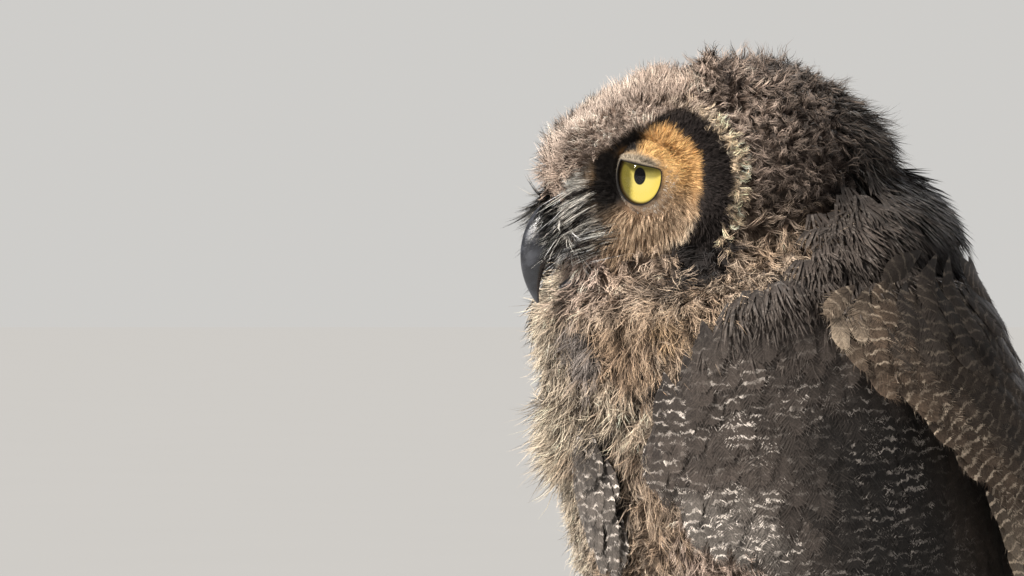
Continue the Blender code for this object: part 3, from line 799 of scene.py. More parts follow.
def tufts(roots, seed, length, lift, curl, width, colours, blades=6, segments=3, spread=0.001, close=0.6,
          wander=0.12, frizz=0.0, yaw=0.25, twist=0.9, wave=0.0, fan=0.0, flow=None, tip_share=(0.25, 0.8),
          bars=0.0, sink=0.0006, tip_width=0.0, shade=0.22, flat=False, dome=0.0, lock=0.0):
    """Tufts of thin tapering strips.

    A strip leaves its root along a direction lifted off the skin, bends evenly by the curl towards its tip,
    and its root's distance from the tuft's middle shrinks by the close share on the way. A fan turns the
    strips of one tuft apart in the skin's plane, the outer ones shorter, so that they make one feather. A
    dome shades each tuft as a round clump and shortens its outer strips. A wave winds each strip round its
    line, and the lock share makes the strips of a tuft stray and wind together. Lengths in metres, angles in
    degrees for lift, curl and fan, radians elsewhere.
    """
    rng = default_rng(seed)
    count = len(roots)
    normal = roots.normal
    flow = lie_of_coat(roots) if flow is None else flow
    side = np.cross(flow, normal)
    turn = rng.normal(0, 1, count) * yaw
    flow = unit(flow * np.cos(turn)[:, None] + side * np.sin(turn)[:, None])
    side = np.cross(flow, normal)
    lift = np.radians(each(lift, count) + rng.normal(0, 4, count))
    curl = np.radians(each(curl, count) + rng.normal(0, 6, count))
    length = each(length, count) * rng.uniform(0.82, 1.12, count)

    shape = (count, blades)
    row = np.linspace(-1, 1, blades)[None] + rng.normal(0, 0.12, shape)
    spin = rng.uniform(0, 2 * math.pi, shape)
    radius = spread * np.sqrt(rng.random(shape))
    apart = side[:, None] * (spread * row if flat else radius * np.cos(spin))[..., None]
    if not flat:
        apart = apart + flow[:, None] * (radius * np.sin(spin))[..., None]
    fanned = np.radians(fan) * row
    ahead = flow[:, None] * np.cos(fanned)[..., None] + side[:, None] * np.sin(fanned)[..., None]
    up = normal[:, None]
    stray = rng.normal(0, 1, (2, *shape, 3)) * (1 - lock) + rng.normal(0, 1, (2, count, 1, 3)) * lock
    stray = stray * np.array((wander, wander + frizz))[:, None, None, None]
    rise, end = lift[:, None, None], (lift + curl)[:, None, None]
    start = unit(ahead * np.cos(rise) + up * np.sin(rise) + stray[0])
    finish = unit(ahead * np.cos(end) + up * np.sin(end) + stray[1])
    reach = length[:, None] * rng.uniform(0.85, 1.08, shape)
    if fan:
        reach = reach * (1 - 0.30 * np.clip(np.abs(row), 0, 1) ** 2)

    if dome:
        reach = reach * (1 - 0.30 * (radius / spread) ** 2)
    t = np.append(np.repeat(np.arange(segments) / segments, 2), 1.0)
    edge = np.append(np.tile((-1.0, 1.0), segments), 0.0)
    taper = np.append(np.repeat((1 - np.arange(segments) / segments) ** 0.55, 2), 0.0)
    taper = np.where(t > 0, taper * (1 + tip_width), 0.75)
    line = (roots.skin - normal * sink)[:, None, None] + apart[:, :, None] * (1 - close * t)[:, None]
    bow = start[:, :, None] * (t - t * t / 2)[:, None] + finish[:, :, None] * (t * t / 2)[:, None]
    line = line + reach[..., None, None] * bow
    turned = rng.normal(0, twist, shape)
    across = unit(np.cross(start, np.broadcast_to(up, start.shape)))
    lifted = np.cross(across, start)
    turned = np.clip(turned, -1.35, 1.35)[..., None]
    across = across * np.cos(turned) + lifted * np.sin(turned)
    if wave:
        phase = t * 9 + rng.uniform(0, 6.28, (*shape, 1)) * (1 - lock)
        phase = phase + rng.uniform(0, 6.28, (count, 1, 1)) * lock
        line = line + side[:, None, None] * (np.sin(phase) * t * wave)[..., None]
        line = line + np.cross(side, start[:, 0])[:, None, None] * (np.cos(phase) * t * wave)[..., None]
    wide = each(width, count)[:, None] * rng.uniform(0.8, 1.2, shape)
    points = line + across[:, :, None] * (edge * taper)[:, None] * (wide[..., None, None] / 2)

    root_colour, tip_colour = colours
    tone = smooth(t, *tip_share)[None, None, :, None]
    tone = np.broadcast_to(tone, (*shape, len(t), 1))
    paint = between(root_colour[:, None, None], tip_colour[:, None, None], tone)
    shadow = 1 + shade * rng.normal(0, 1, (count, 1, 1, 1))
    paint = paint * (shadow + 0.6 * shade * rng.normal(0, 1, (*shape, 1, 1)))
    paint = np.clip(paint, *PAINT_RANGE)

    total = count * blades
    strip = np.tile(np.repeat(np.arange(blades), len(t)) / blades, count)
    return {
        "points": points.reshape(-1, 3),
        "triangles": strand_triangles(total, segments),
        "plumage": paint.reshape(-1, 3),
        "lie": np.repeat(unit(up + dome / spread * apart).reshape(-1, 3), len(t), axis=0),
        "tuft": np.repeat(np.arange(count), blades * len(t)),
        "local": np.column_stack([strip + np.tile(edge * 0.4 + 0.5, total) / blades, np.tile(t, total)]),
        "anchor": roots,
        "vane": np.column_stack([
            (t[None, None] * reach[..., None] * 1000).ravel(), spread_over(row[..., None], (*shape, len(t))),
            spread_over(each(bars, count)[:, None, None], (*shape, len(t)))]),
    }


WOOL = dict(blades=11, segments=4, spread=0.0018, close=0.60, wander=0.15, frizz=0.45, yaw=0.4, wave=0.0010,
            tip_share=(0.30, 0.85), shade=0.24, dome=1.0, lock=0.6)


def wool(roots, seed, length, lift, curl, width, colours, **own):
    """Curly clumps of down; what isn't given is as on the breast."""
    return tufts(roots, seed, length, lift, curl, width, colours, **{**WOOL, **own})


def unwrap(place):
    """The skin opened out: the head and the rest each by direction about their own middle and height."""
    head = place.among("head", "ear")
    q = place.q
    radius = np.maximum(lengths(q), 1e-6)
    head_u = np.arctan2(q[:, 0], -q[:, 1]) / (2 * math.pi) + 0.5
    head_v = np.arccos(np.clip(q[:, 2] / radius, -1, 1)) / math.pi
    body_u, body_v = place.turn / 360 + 0.5, 1 - place.z / UNWRAP_HEIGHT
    return np.column_stack([np.where(head, head_u, body_u), np.where(head, 1 - head_v, 1 - body_v)])


def bake_cells(where):
    """A free cell for each tuft on the bake map, next to its root's place on the unwrap."""
    count = len(where)
    columns = math.ceil(math.sqrt(count))
    order = np.argsort(where[:, 1], kind="stable")
    cells = np.empty((count, 2))
    for row, start in enumerate(range(0, count, columns)):
        members = order[start:start + columns]
        members = members[np.argsort(where[members, 0], kind="stable")]
        cells[members, 0] = (np.arange(len(members)) + 0.5) / len(members)
        cells[members, 1] = (row + 0.5) / math.ceil(count / columns)
    return cells * (1 - 2 * BAKE_MARGIN) + BAKE_MARGIN


def part_of(strand, keep):
    """The strands of the tufts marked in keep, as a set of their own."""
    chosen = keep[strand["tuft"]]
    number = np.cumsum(chosen) - 1
    new = {key: strand[key][chosen] for key in FIELDS}
    new["triangles"] = number[strand["triangles"][chosen[strand["triangles"][:, 0]]]]
    new["tuft"] = (np.cumsum(keep) - 1)[strand["tuft"][chosen]]
    new["anchor"] = strand["anchor"].picked(keep)
    return new


def add_coat(name, strands, material, slot, *replaced, patch=PATCH):
    """Coat pieces from a list of strand sets; a large coat is parted from left to right."""
    total = sum(len(strand["triangles"]) for strand in strands)
    pieces = math.ceil(total / MOST_TRIANGLES)
    across = np.concatenate([strand["anchor"].p[:, 0] for strand in strands])
    edges = np.quantile(across, np.linspace(0, 1, pieces + 1)[1:-1]) if pieces > 1 else []
    for number in range(pieces):
        parts = strands
        if pieces > 1:
            inside = [np.searchsorted(edges, s["anchor"].p[:, 0], side="right") == number for s in strands]
            parts = [part for part in map(part_of, strands, inside) if len(part["triangles"])]
        label = name if pieces == 1 else f"{name}_{number + 1}"
        add_coat_piece(label, parts, material, slot, patch, *(replaced if number == 0 else ()))


def add_coat_piece(name, strands, material, slot, patch, *replaced):
    """One mesh from these strands; each tuft's own patch on the bake map lies at its cell."""
    first_points = np.cumsum([0] + [len(strand["points"]) for strand in strands])
    first_tufts = np.cumsum([0] + [len(strand["anchor"]) for strand in strands])
    triangles = np.concatenate([strand["triangles"] + first for strand, first in zip(strands, first_points)])
    owners = np.concatenate([strand["tuft"] + first for strand, first in zip(strands, first_tufts)])
    joined = {key: np.concatenate([strand[key] for strand in strands]) for key in FIELDS}
    joined["points"][:, 2] = np.maximum(joined["points"][:, 2], FLOOR_GAP)
    mesh = build_mesh(name, joined["points"], triangles)
    set_colour(mesh, "plumage", joined["plumage"])
    set_attribute(mesh, "lie", "FLOAT_VECTOR", "vector", joined["lie"])
    set_attribute(mesh, "vane", "FLOAT_VECTOR", "vector", joined["vane"])
    cells = bake_cells(np.concatenate([unwrap(strand["anchor"]) for strand in strands]))
    spots = cells[owners] + (joined["local"] - 0.5) * patch
    layer = mesh.uv_layers.new(name="OFBake")
    layer.data.foreach_set("uv", spots[triangles.ravel()].astype(np.float32).ravel())
    add_piece(name, mesh, material, slot, *replaced)


# ---- feathers
class Laid:
    """Feathers on the body: each lies ahead along its flow from its base, bending inwards with the body."""

    winding = -1

    def __init__(self, base, normal, flow, part, bend=2.2):
        self.base, self.normal, self.flow = base, normal, flow
        self.side, self.bend = np.cross(flow, normal), bend
        self.at = on_part(base, part) if isinstance(part, str) else Place(base, part)

    def lay(self, ahead, aside, height):
        """Points at these distances from each base; the arrays' first axis is the feather."""
        height = height - self.bend * ahead**2
        rows = (len(self.base),) + (1,) * (ahead.ndim - 1) + (3,)
        return (self.base.reshape(rows) + self.flow.reshape(rows) * ahead[..., None]
                + self.side.reshape(rows) * aside[..., None] + self.normal.reshape(rows) * height[..., None])


def vaned(laid, length, width, colours, seed, bars=1.0, barbs=22, rows=6, sink=0.0022, rise=0.0012,
          camber=0.10, fray=0.10, lean=0.34, core=0.80, tip_share=(0.1, 0.8), shade=0.12, shape=3.2,
          loose=0.0, tipped=0.0, tip_colour=(0, 0, 0), phase=None, edged=0.0):
    """Body feathers and coverts: each a thin closed vane with fine barbs over it that reach past its edge.

    A barb leaves the shaft at a share t of its length and runs outwards, and ahead by the lean, to the
    outline, whose half-width is (1 - t^shape)^0.62. The vane fills the core share of that outline on a grid
    just under the barbs. Heights: sink under the base, rise over it at the tip, less the camber across.
    Colours run from root to tip along the shaft, and tipped feathers end in the tip colour. The bars are as
    strong as asked, in the edged share only towards the vane's edges, and start at the phase in millimetres.
    """
    rng = default_rng(seed)
    count = len(laid.base)
    every = lambda value: each(value, count)[:, None]
    long = every(length) * rng.uniform(0.84, 1.12, (count, 1))
    half = every(width) / 2 * rng.uniform(0.88, 1.1, (count, 1))
    outline = lambda t: (1 - t**shape) ** 0.62 * (0.6 + 0.4 * smooth(t, 0, 0.35))
    ahead = lambda t: lean * (1 - 0.5 * t)

    t, u = (g.ravel() for g in np.meshgrid(np.linspace(0, 0.97, rows), np.linspace(-1, 1, 5), indexing="ij"))
    ragged = 1 + 0.4 * fray * rng.normal(0, 1, (count, len(t))) * np.abs(u)
    vane_x = outline(t) * u * core * ragged
    vane_y = t + ahead(t) * core * np.abs(u) ** 1.5 * (1 - t**5) + 0 * ragged

    t = np.tile(np.linspace(0.10, 0.985, barbs), 2)[:, None]
    sign = np.repeat((-1.0, 1.0), barbs)[:, None]
    stray = rng.normal(0, 1, (3, count, 2 * barbs, 1))
    u = np.array((0.06, 0.06, 0.66, 0.66, 1.0))
    edge = np.array((-1, 1, -1, 1, 0)) * sign
    barb_x = sign * outline(t) * u * (1 + fray * stray[0] * u)
    thickness = edge * 0.30 * 0.885 / (barbs - 1) * (1 - 0.35 * u)
    barb_y = t + ahead(t) * u**1.25 * (1 + 0.4 * fray * stray[1]) - thickness
    curled = (0.3 * fray + loose) * np.abs(stray[2]) * u**2 * half[..., None] * 0.7 + 0.00012

    across = np.hstack([vane_x, barb_x.reshape(count, -1)])
    along = np.hstack([vane_y, barb_y.reshape(count, -1)])
    lifted = np.hstack([0 * vane_x, curled.reshape(count, -1)]) + 0.0002 * rng.normal(0, 1, (count, 1))
    height = (sink + every(rise)) * along - sink - camber * half * across**2 + lifted
    points = laid.lay(long * along, half * across, height)
    size = along.shape[1]

    tone = smooth(along, *tip_share)[..., None]
    root, tip = (np.broadcast_to(colour, (count, 3))[:, None] for colour in colours)
    grain = 1 + 1.1 * shade * rng.normal(0, 1, (count, 2 * barbs))
    grain = np.hstack([np.full(vane_x.shape, 0.9), np.repeat(grain, 5, axis=1)])
    paint = between(root, tip, tone) * (grain * (1 + shade * rng.normal(0, 1, (count, 1))))[..., None]
    end = smooth(along + 0.08 * across**2, 0.94, 1.06) * every(tipped) * rng.uniform(0.5, 1.0, (count, 1))
    paint = np.clip(blend(paint, np.array(tip_colour), end), *PAINT_RANGE)
    offset = rng.uniform(0, 6, (count, 1)) if phase is None else every(phase)
    strength = every(bars) * rng.uniform(0.35, 1.1, (count, 1))
    strength = strength * (1 - edged + edged * smooth(np.abs(across), 0.15, 0.60))
    rounded = laid.normal[:, None] + laid.side[:, None] * (0.45 * np.clip(across, -1, 1))[..., None]

    grid = grid_triangles(rows, 5)[:, ::-laid.winding]
    one = np.vstack([grid, strand_triangles(2 * barbs, 2) + rows * 5])
    return {
        "points": points.reshape(-1, 3), "plumage": paint.reshape(-1, 3), "lie": unit(rounded).reshape(-1, 3),
        "triangles": repeated(one, count, size),
        "tuft": np.repeat(np.arange(count), size), "anchor": laid.at,
        "local": np.column_stack([across.ravel() * 0.45 + 0.5, np.clip(along, 0, 1).ravel()]),
        "vane": np.column_stack([(long * along * 1000 + offset).ravel(), across.ravel(), strength.ravel()]),
    }


def blades(laid, length, width, colours, seed, bars=1.0, rows=15, ring=12, thickness=0.0007, sink=0.0015,
           rise=0.0015, camber=0.16, ragged=0.05, shape=7.0, shade=0.08, root_share=0.35):
    """Flight feathers: closed, flattened tubes whose half-width is root_share at the base, full by a third
    of the length, and (1 - t^shape)^0.5 at the rounded tip; the cross-section is an arch and its edges are
    slightly ragged.
    """
    rng = default_rng(seed)
    count = len(laid.base)
    t = np.sin(np.linspace(0, math.pi / 2, rows)) * 0.9 + np.linspace(0, 1, rows) * 0.1
    turn = np.linspace(0, 2 * math.pi, ring, endpoint=False)
    outline = (root_share + (1 - root_share) * smooth(t, 0, 0.33)) * np.sqrt(np.maximum(1 - t**shape, 0))
    outline[0] = outline[-1] = 0.0
    long, half = length[:, None, None], width / 2
    nibble = 1 + ragged * rng.normal(0, 1, (count, rows, ring)) * (np.abs(np.cos(turn)) > 0.9)
    across = outline[:, None] * np.cos(turn) * nibble
    along = np.broadcast_to(t[:, None], across.shape)
    solid = thickness / 2 * np.sin(turn) * (outline[:, None] > 0)
    height = (sink + rise) * along - sink - camber * half * across**2 + solid
    points = laid.lay(long * along, half * across, height)
    tone = along[..., None]
    root, tip = (np.broadcast_to(colour, (count, 3))[:, None, None] for colour in colours)
    shadow = 1 + shade * rng.normal(0, 1, (count, 1, 1, 1)) + 0 * tone
    paint = np.clip(between(root, tip, tone) * shadow, *PAINT_RANGE)
    grid = grid_triangles(rows, ring, closed=True)[:, ::laid.winding]
    offset = rng.uniform(0, 4, (count, 1, 1))
    return {
        "points": points.reshape(-1, 3), "plumage": paint.reshape(-1, 3),
        "triangles": repeated(grid, count, rows * ring),
        "lie": np.repeat(laid.normal, rows * ring, axis=0), "tuft": np.repeat(np.arange(count), rows * ring),
        "local": np.column_stack([spread_over(turn / 6.2832, across.shape), along.ravel()]),
        "anchor": laid.at,
        "vane": np.column_stack([(long * along * 1000 + offset).ravel(), across.ravel(),
                                 spread_over(each(bars, count)[:, None, None], across.shape)]),
    }


class Wing:
    """The outer face of one folded wing as a map of distance from the trunk's axis, by turn and height."""

    FAR = 0.25  # rays start this far from the axis
    TURN_STEP, HEIGHT_STEP = 2.0, 0.004
    TURNS = np.arange(40.0, 184.0, TURN_STEP)
    HEIGHTS = np.arange(0.070, 0.314, HEIGHT_STEP)

    def __init__(self, side):
        self.sign = SIDES[side]
        merged = merged_copy(["wing_" + side, "primaries_" + side])
        work = bmesh.new()
        work.from_mesh(merged)
        tree = BVHTree.FromBMesh(work)
        reach = np.full((len(self.HEIGHTS), len(self.TURNS)), np.nan)
        for row, z in enumerate(self.HEIGHTS):
            middle = trunk_middle(z)
            for column, turn in enumerate(self.TURNS):
                away = self.outward(turn)
                hit = tree.ray_cast(Vector(middle + away * self.FAR), Vector(-away), self.FAR)[3]
                reach[row, column] = np.nan if hit is None else self.FAR - hit
        work.free()
        seen = ~np.isnan(reach)
        heights = self.HEIGHTS[seen.any(axis=1)]
        rows = [(self.TURNS[s], r[s]) for r, s in zip(reach, seen) if s.any()]
        self.front, self.back = (np.interp(self.HEIGHTS, heights, [end(turns) for turns, _ in rows])
                                 for end in (np.min, np.max))
        filled = np.array([np.interp(self.TURNS, turns, far) for turns, far in rows])
        self.reach = np.column_stack([np.interp(self.HEIGHTS, heights, column) for column in filled.T])
        for _ in range(2):
            padded = np.pad(self.reach, 1, mode="edge")
            near = padded[:-2, 1:-1] + padded[2:, 1:-1] + padded[1:-1, :-2] + padded[1:-1, 2:]
            self.reach = 0.5 * self.reach + 0.125 * near

    def outward(self, turn):
        """The level direction at this turn."""
        angle = np.radians(turn)
        return np.stack([np.sin(angle) * self.sign, -np.cos(angle), 0 * angle], axis=-1)

    def radius(self, turn, z):
        """The distance from the axis, read between the map's points."""
        column = np.clip((turn - self.TURNS[0]) / self.TURN_STEP, 0, len(self.TURNS) - 1.001)
        row = np.clip((z - self.HEIGHTS[0]) / self.HEIGHT_STEP, 0, len(self.HEIGHTS) - 1.001)
        left, low = column.astype(int), row.astype(int)
        return read_grid(self.reach, low, left, left + 1, row - low, column - left)

    def point(self, turn, z):
        """The point of the wing's face at this turn and height."""
        return trunk_middle(z) + self.outward(turn) * self.radius(turn, z)[..., None]

    def edges(self, z):
        """The turns of the wing's front and back edges."""
        return np.interp(z, self.HEIGHTS, self.front), np.interp(z, self.HEIGHTS, self.back)

    def turn_at(self, share, z):
        """The turn at a share of the way from the front edge to the back edge."""
        front, back = self.edges(z)
        return front + share * (back - front)

    def arc(self, z):
        """The wing's width round the body."""
        front, back = self.edges(z)
        return np.radians(back - front) * self.radius((front + back) / 2, z)


class WingLaid(Laid):
    """Feathers on a wing: they run along lines of even share and lie on the wing's own outer face."""

    def __init__(self, wing, share, z, part, swing=0.0, lean=0.0, seed=0):
        self.wing, self.z = wing, z
        self.turn = wing.turn_at(share, z)
        self.base = wing.point(self.turn, z)
        across = wing.point(self.turn + 2, z) - wing.point(self.turn - 2, z)
        upward = wing.point(self.turn, z + 0.006) - wing.point(self.turn, z - 0.006)
        self.normal = unit(np.cross(across, upward)) * wing.sign
        self.round = wing.radius(self.turn, z)
        slope = np.radians(wing.turn_at(share, z - 0.02) - self.turn) * self.round / 0.02
        angle = np.arctan(slope) + lean + default_rng(seed).normal(0, 1, len(z)) * swing
        self.back_part, self.down_part = np.sin(angle), np.cos(angle)
        self.flow = unit(unit(across) * self.back_part[:, None] - UP * self.down_part[:, None])
        self.side = np.cross(self.flow, self.normal)
        self.winding = -1 if wing.sign > 0 else 1
        self.at = on_part(self.base, part)

    def lay(self, ahead, aside, height):
        """Points over the wing's face: ahead and aside become a way down it and a way round it."""
        rows = (len(self.z),) + (1,) * (ahead.ndim - 1)
        back_part, down_part = self.back_part.reshape(rows), self.down_part.reshape(rows)
        backward = ahead * back_part - aside * down_part * self.wing.sign
        z = self.z.reshape(rows) - ahead * down_part - aside * back_part * self.wing.sign
        turn = self.turn.reshape(rows) + np.degrees(backward / self.round.reshape(rows))
        return self.wing.point(turn, z) + self.normal.reshape(*rows, 3) * height[..., None]


def wing_rows(wing, high, low, length_high, length_low, width_share, first=0.02, last=0.98, overlap=0.42,
              seed=0):
    """Places of coverts in staggered rows down a wing: shares, heights, lengths and widths."""
    rng = default_rng(seed)
    shares, heights, lengths, widths = [], [], [], []
    z, odd = high, 0
    while z > low:
        length = length_low + (length_high - length_low) * (z - low) / (high - low)
        width = length * width_share
        number = max(2, round(float(wing.arc(np.array(z))) * (last - first) / (width * 0.60)))
        share = first + (last - first) * (np.arange(number) + 0.5 * odd) / (number - 0.5)
        shares.append(share + rng.normal(0, 0.006, number))
        heights.append(z + rng.normal(0, 0.0010, number))
        lengths.append(np.full(number, length))
        widths.append(np.full(number, width))
        z, odd = z - length * overlap, 1 - odd
    return [np.concatenate(part) for part in (shares, heights, lengths, widths)]


def wing_colours(place, share):
    """Coverts: a buff leading edge, a bright buff shoulder, and dark brown behind them."""
    edge = fade(share, 0.06, 0.15)
    tip = blend(C.wing_brown, C.wing_edge, edge)
    shoulder = bump(place.z, 0.298, 0.006) * fade(share, -0.02, 0.05)
    tip = blend(tip, C.wing_buff, 0.45 * shoulder)
    low = fade(place.z, 0.205, 0.235)
    tip = blend(tip, C.wing_buff, 0.55 * edge * low)
    tip = tip * (1 + 0.25 * wobble(place.p, 0.02, 61))[:, None]
    root = blend(C.wing_dark, C.wing_brown, edge)
    return (root, tip), np.clip(0.30 + 1.2 * edge, 0, 1.4) * (1 + 1.2 * low * edge)


def wings(covert, flight):
    """Coverts in rows over each folded wing, then the long secondaries and primaries under them."""
    for side in SIDES:
        wing, part = Wing(side), "wing_" + side
        share, z, length, width = wing_rows(wing, 0.306, 0.185, 0.013, 0.027, 0.62, seed=71)
        laid = WingLaid(wing, share, z, part, swing=0.10, seed=72)
        colours, bars = wing_colours(laid.at, share)
        sets = [vaned(laid, length, width, colours, 73, bars=bars, barbs=18, sink=0.0012, rise=0.0012,
                      fray=0.08, tipped=0.2, tip_colour=C.wing_buff * 0.5, phase=(0.32 - z) * 1000,
                      shade=0.10)]
        # broad, barred feathers along the leading edge
        share, z, length, width = wing_rows(wing, 0.304, 0.110, 0.019, 0.021, 0.54, first=-0.02, last=0.15,
                                            seed=74)
        share = share - 0.07 * smooth(0.245 - z, 0, 0.035) - 0.06 * bump(z, 0.298, 0.010)
        laid = WingLaid(wing, share, z, part, swing=0.12, lean=-0.12, seed=75)
        colours, bars = wing_colours(laid.at, share)
        bars = bars * (1 - 0.6 * smooth(z, 0.250, 0.280))
        sets.append(vaned(laid, length, width, colours, 76, bars=bars, sink=0.0002, rise=0.0022, fray=0.24,
                          loose=0.12, shape=2.3, tipped=0.25 * (z < 0.27), tip_colour=C.wing_buff,
                          phase=(0.32 - z) * 1000, shade=0.10))
        # scapulars: loose rows that cover the wing's upper border
        share, z, length, width = wing_rows(wing, 0.316, 0.282, 0.026, 0.030, 0.46, first=0.08, last=0.78,
                                            seed=83)
        laid = WingLaid(wing, share, z, part, swing=0.14, seed=84)
        dark = C.wing_dark, (C.mantle + C.wing_brown) / 2
        sets.append(vaned(laid, length, width, dark, 85, bars=0.25, sink=-0.0004, rise=0.0022, fray=0.12,
                          loose=0.04))
        # greater coverts
        number = 9
        share = np.linspace(0.10, 0.94, number)
        laid = WingLaid(wing, share, np.linspace(0.222, 0.232, number), part, swing=0.03, seed=77)
        colours, bars = wing_colours(laid.at, share)
        sets.append(vaned(laid, np.linspace(0.050, 0.062, number), 0.017, colours, 78, bars=bars, barbs=40,
                          rows=14, core=0.9, sink=0.0026, rise=0.0010, fray=0.04, shape=6.0, shade=0.1,
                          tipped=0.5, tip_colour=C.wing_buff * 0.6))
        add_coat("wing_coverts_" + side, sets, covert, "feather", patch=0.004)

        number = 9
        share = np.linspace(0.06, 0.95, number)
        laid = WingLaid(wing, share, np.linspace(0.196, 0.204, number), part, swing=0.02, seed=79)
        sets = [blades(laid, np.linspace(0.074, 0.092, number), 0.0175, FLIGHT_COLOURS, 80, sink=0.0030,
                       rise=0.0008)]
        number = 7
        share = np.linspace(0.10, 0.88, number)
        laid = WingLaid(wing, share, np.full(number, 0.160), part, swing=0.02, seed=81)
        ends = np.interp(share, (0.1, 0.45, 0.9), (0.078, 0.070, 0.074))
        sets.append(blades(laid, (0.160 - ends) * 1.14, 0.0165, FLIGHT_COLOURS, 82, sink=0.0030,
                           rise=-0.0012))
        add_coat("flight_feathers_" + side, sets, flight, "feather", "primaries_" + side, patch=0.03)


def tail(flight, feather):
    """Tail: twelve feathers fanned from the rump, the middle pair on top, slightly arched."""
    low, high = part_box("tail")
    number = 12
    x = np.linspace(-1, 1, number)
    start = np.array((0.0, 0.040, 0.118))
    end = np.array((0.0, high.y - 0.003, low.z + 0.006))
    flow = unit(end - start)
    normal = np.array((0.0, -flow[2], flow[1]))
    spread = np.radians(9.0) * x
    drop = 0.0075 * x**2
    base = start + np.column_stack([x * 0.017, 0 * x, 0 * x]) + normal * (0.003 - drop)[:, None]
    flows = flow * np.cos(spread)[:, None] + np.array((1.0, 0, 0)) * np.sin(spread)[:, None]
    leant = unit(normal + np.array((0.45, 0, 0)) * x[:, None])
    laid = Laid(base, leant, unit(flows), "trunk", bend=0.35)
    length = np.linalg.norm(end - start) * (1 - 0.05 * np.abs(x))
    sets = [blades(laid, length, 0.0165, FLIGHT_COLOURS, 91, rows=18, sink=0.0, rise=0.0005,
                   thickness=0.0012)]
    add_coat("tail_feathers", sets, flight, "feather", "tail", patch=0.03)

    # coverts over the tail's root, and soft pale ones under it
    rng = default_rng(93)
    sets = []
    for above, number, size, tone in ((1, 34, 0.040, "wing_brown"), (-1, 44, 0.036, "leg_buff")):
        x, row = rng.uniform(-1, 1, number), rng.uniform(-0.15, 0.42, number)
        base = start + np.column_stack([x * 0.019, 0 * x, 0 * x]) + flow * (row * 0.075)[:, None]
        base = base + normal * (above * (0.0055 - 0.004 * row) - 0.0075 * x**2)[:, None]
        angle = np.radians(12) * x + rng.normal(0, 0.08, number)
        flows = flow * np.cos(angle)[:, None] + np.array((1.0, 0, 0)) * np.sin(angle)[:, None]
        laid = Laid(base, np.tile(normal * above, (number, 1)), unit(flows), "trunk")
        sets.append(vaned(laid, size, 0.017, (C.soot, getattr(C, tone)), 94 + above, bars=0.5, sink=0.002,
                          rise=0.002, fray=0.16))
    add_coat("tail_coverts", sets, feather, "feather")


# ---- eyes and lids
def turned_surface(rings, centre, ahead, sides=48):
    """A surface turned about the line of sight: rings of (distance ahead, radius), closed at radius 0."""
    across = unit(np.cross(ahead, UP))
    upward = np.cross(across, ahead)
    turn = np.linspace(0, 2 * math.pi, sides, endpoint=False)
    circle = np.cos(turn)[:, None] * across + np.sin(turn)[:, None] * upward
    rings = np.array(rings, float)
    points = centre + rings[:, None, :1] * ahead + rings[:, None, 1:] * circle[None]
    return points.reshape(-1, 3), grid_triangles(len(rings), sides, closed=True)


def closed_mesh(name, points, triangles):
    """The arrays as one closed, smooth-shaded mesh."""
    mesh = merged(name, [build_mesh("raw", points, triangles)], 2e-6, outwards=True)
    mesh.shade_smooth()
    return mesh


def iris_paint(name, centre, inwards):
    """Iris: yellow, deeper towards its dark rim, with fine rays, and painted shade in olive under the brow
    and at the bill's side; the pupil is black, a little nearer the bill.

    A little emission stands for the light that a real cornea gathers onto the iris.
    """
    paint = Paint(name, Roughness=0.4, Specular_IOR_Level=0.1, Emission_Strength=0.25)
    place = paint.node("TexCoord", out="Object")
    offset = paint.vector("SUBTRACT", place, tuple(centre))
    radius = paint.vector("LENGTH", offset, out=1) / IRIS_RADIUS
    rays = paint.noise(1.0, 3.0, paint.vector("MULTIPLY", paint.vector("NORMALIZE", offset), (26, 26, 26)))
    flecks = paint.noise(1400, 2.0, place)
    tone = (rays - 0.5) * 0.5 + (flecks - 0.5) * 0.3 + radius
    yellow = paint.mix(tone.rise(0.25, 0.95), (0.92, 0.765, 0.20), (0.90, 0.70, 0.13))
    along = lambda offset, way: paint.vector("DOT_PRODUCT", offset, tuple(way), out=1)
    high, front = along(offset, UP), along(offset, inwards)
    # painted shade: the lid and brow shade the top of the iris, and the bill's side shades its front; both
    # are mixed to olive
    stirred = (flecks - 0.5) * 0.10
    above = (high / IRIS_RADIUS + stirred).rise(0.02, 0.26)
    shadow = above.most((front / IRIS_RADIUS + stirred).rise(0.36, 0.62))
    yellow = paint.mix(shadow * 0.88, yellow, (0.13, 0.112, 0.014))
    yellow = paint.mix(radius.rise(0.86, 0.99), yellow, (0.06, 0.035, 0.01))
    pupil = PUPIL_RADIUS / IRIS_RADIUS
    middle = paint.vector("SUBTRACT", place, tuple(centre + inwards * 0.0014))
    narrowed = paint.vector("MULTIPLY", along(middle, inwards), tuple(inwards * 0.16))
    middle = paint.vector("ADD", middle, narrowed)
    inside = paint.vector("LENGTH", middle, out=1) / IRIS_RADIUS
    colour = paint.mix(inside.rise(pupil - 0.012, pupil + 0.02), (0.003, 0.003, 0.004), yellow)
    soft = paint.mix(1.0, colour, (0.40, 0.40, 0.40), "MULTIPLY")
    return paint.feed(Base_Color=soft, Emission_Color=colour)


def cornea_paint():
    """Clear cornea: sees through, with a mirror-like gloss that grows at a slant."""
    paint = Paint("cornea")
    tree = paint.tree
    clear = paint.node("BsdfTransparent")
    gloss = paint.node("BsdfAnisotropic", {}, {"Roughness": 0.04, "Color": (1, 1, 1)})
    slant = paint.node("LayerWeight", {}, {"Blend": 0.5}, 1)
    share = slant * slant * slant * slant * slant * 0.85 + 0.025
    mixed = paint.node("MixShader", {}, {0: share, 1: clear, 2: gloss})
    output = next(node for node in tree.nodes if node.type == "OUTPUT_MATERIAL")
    tree.links.new(mixed.socket, output.inputs["Surface"])
    tree.nodes.remove(paint.shader)
    return paint.material


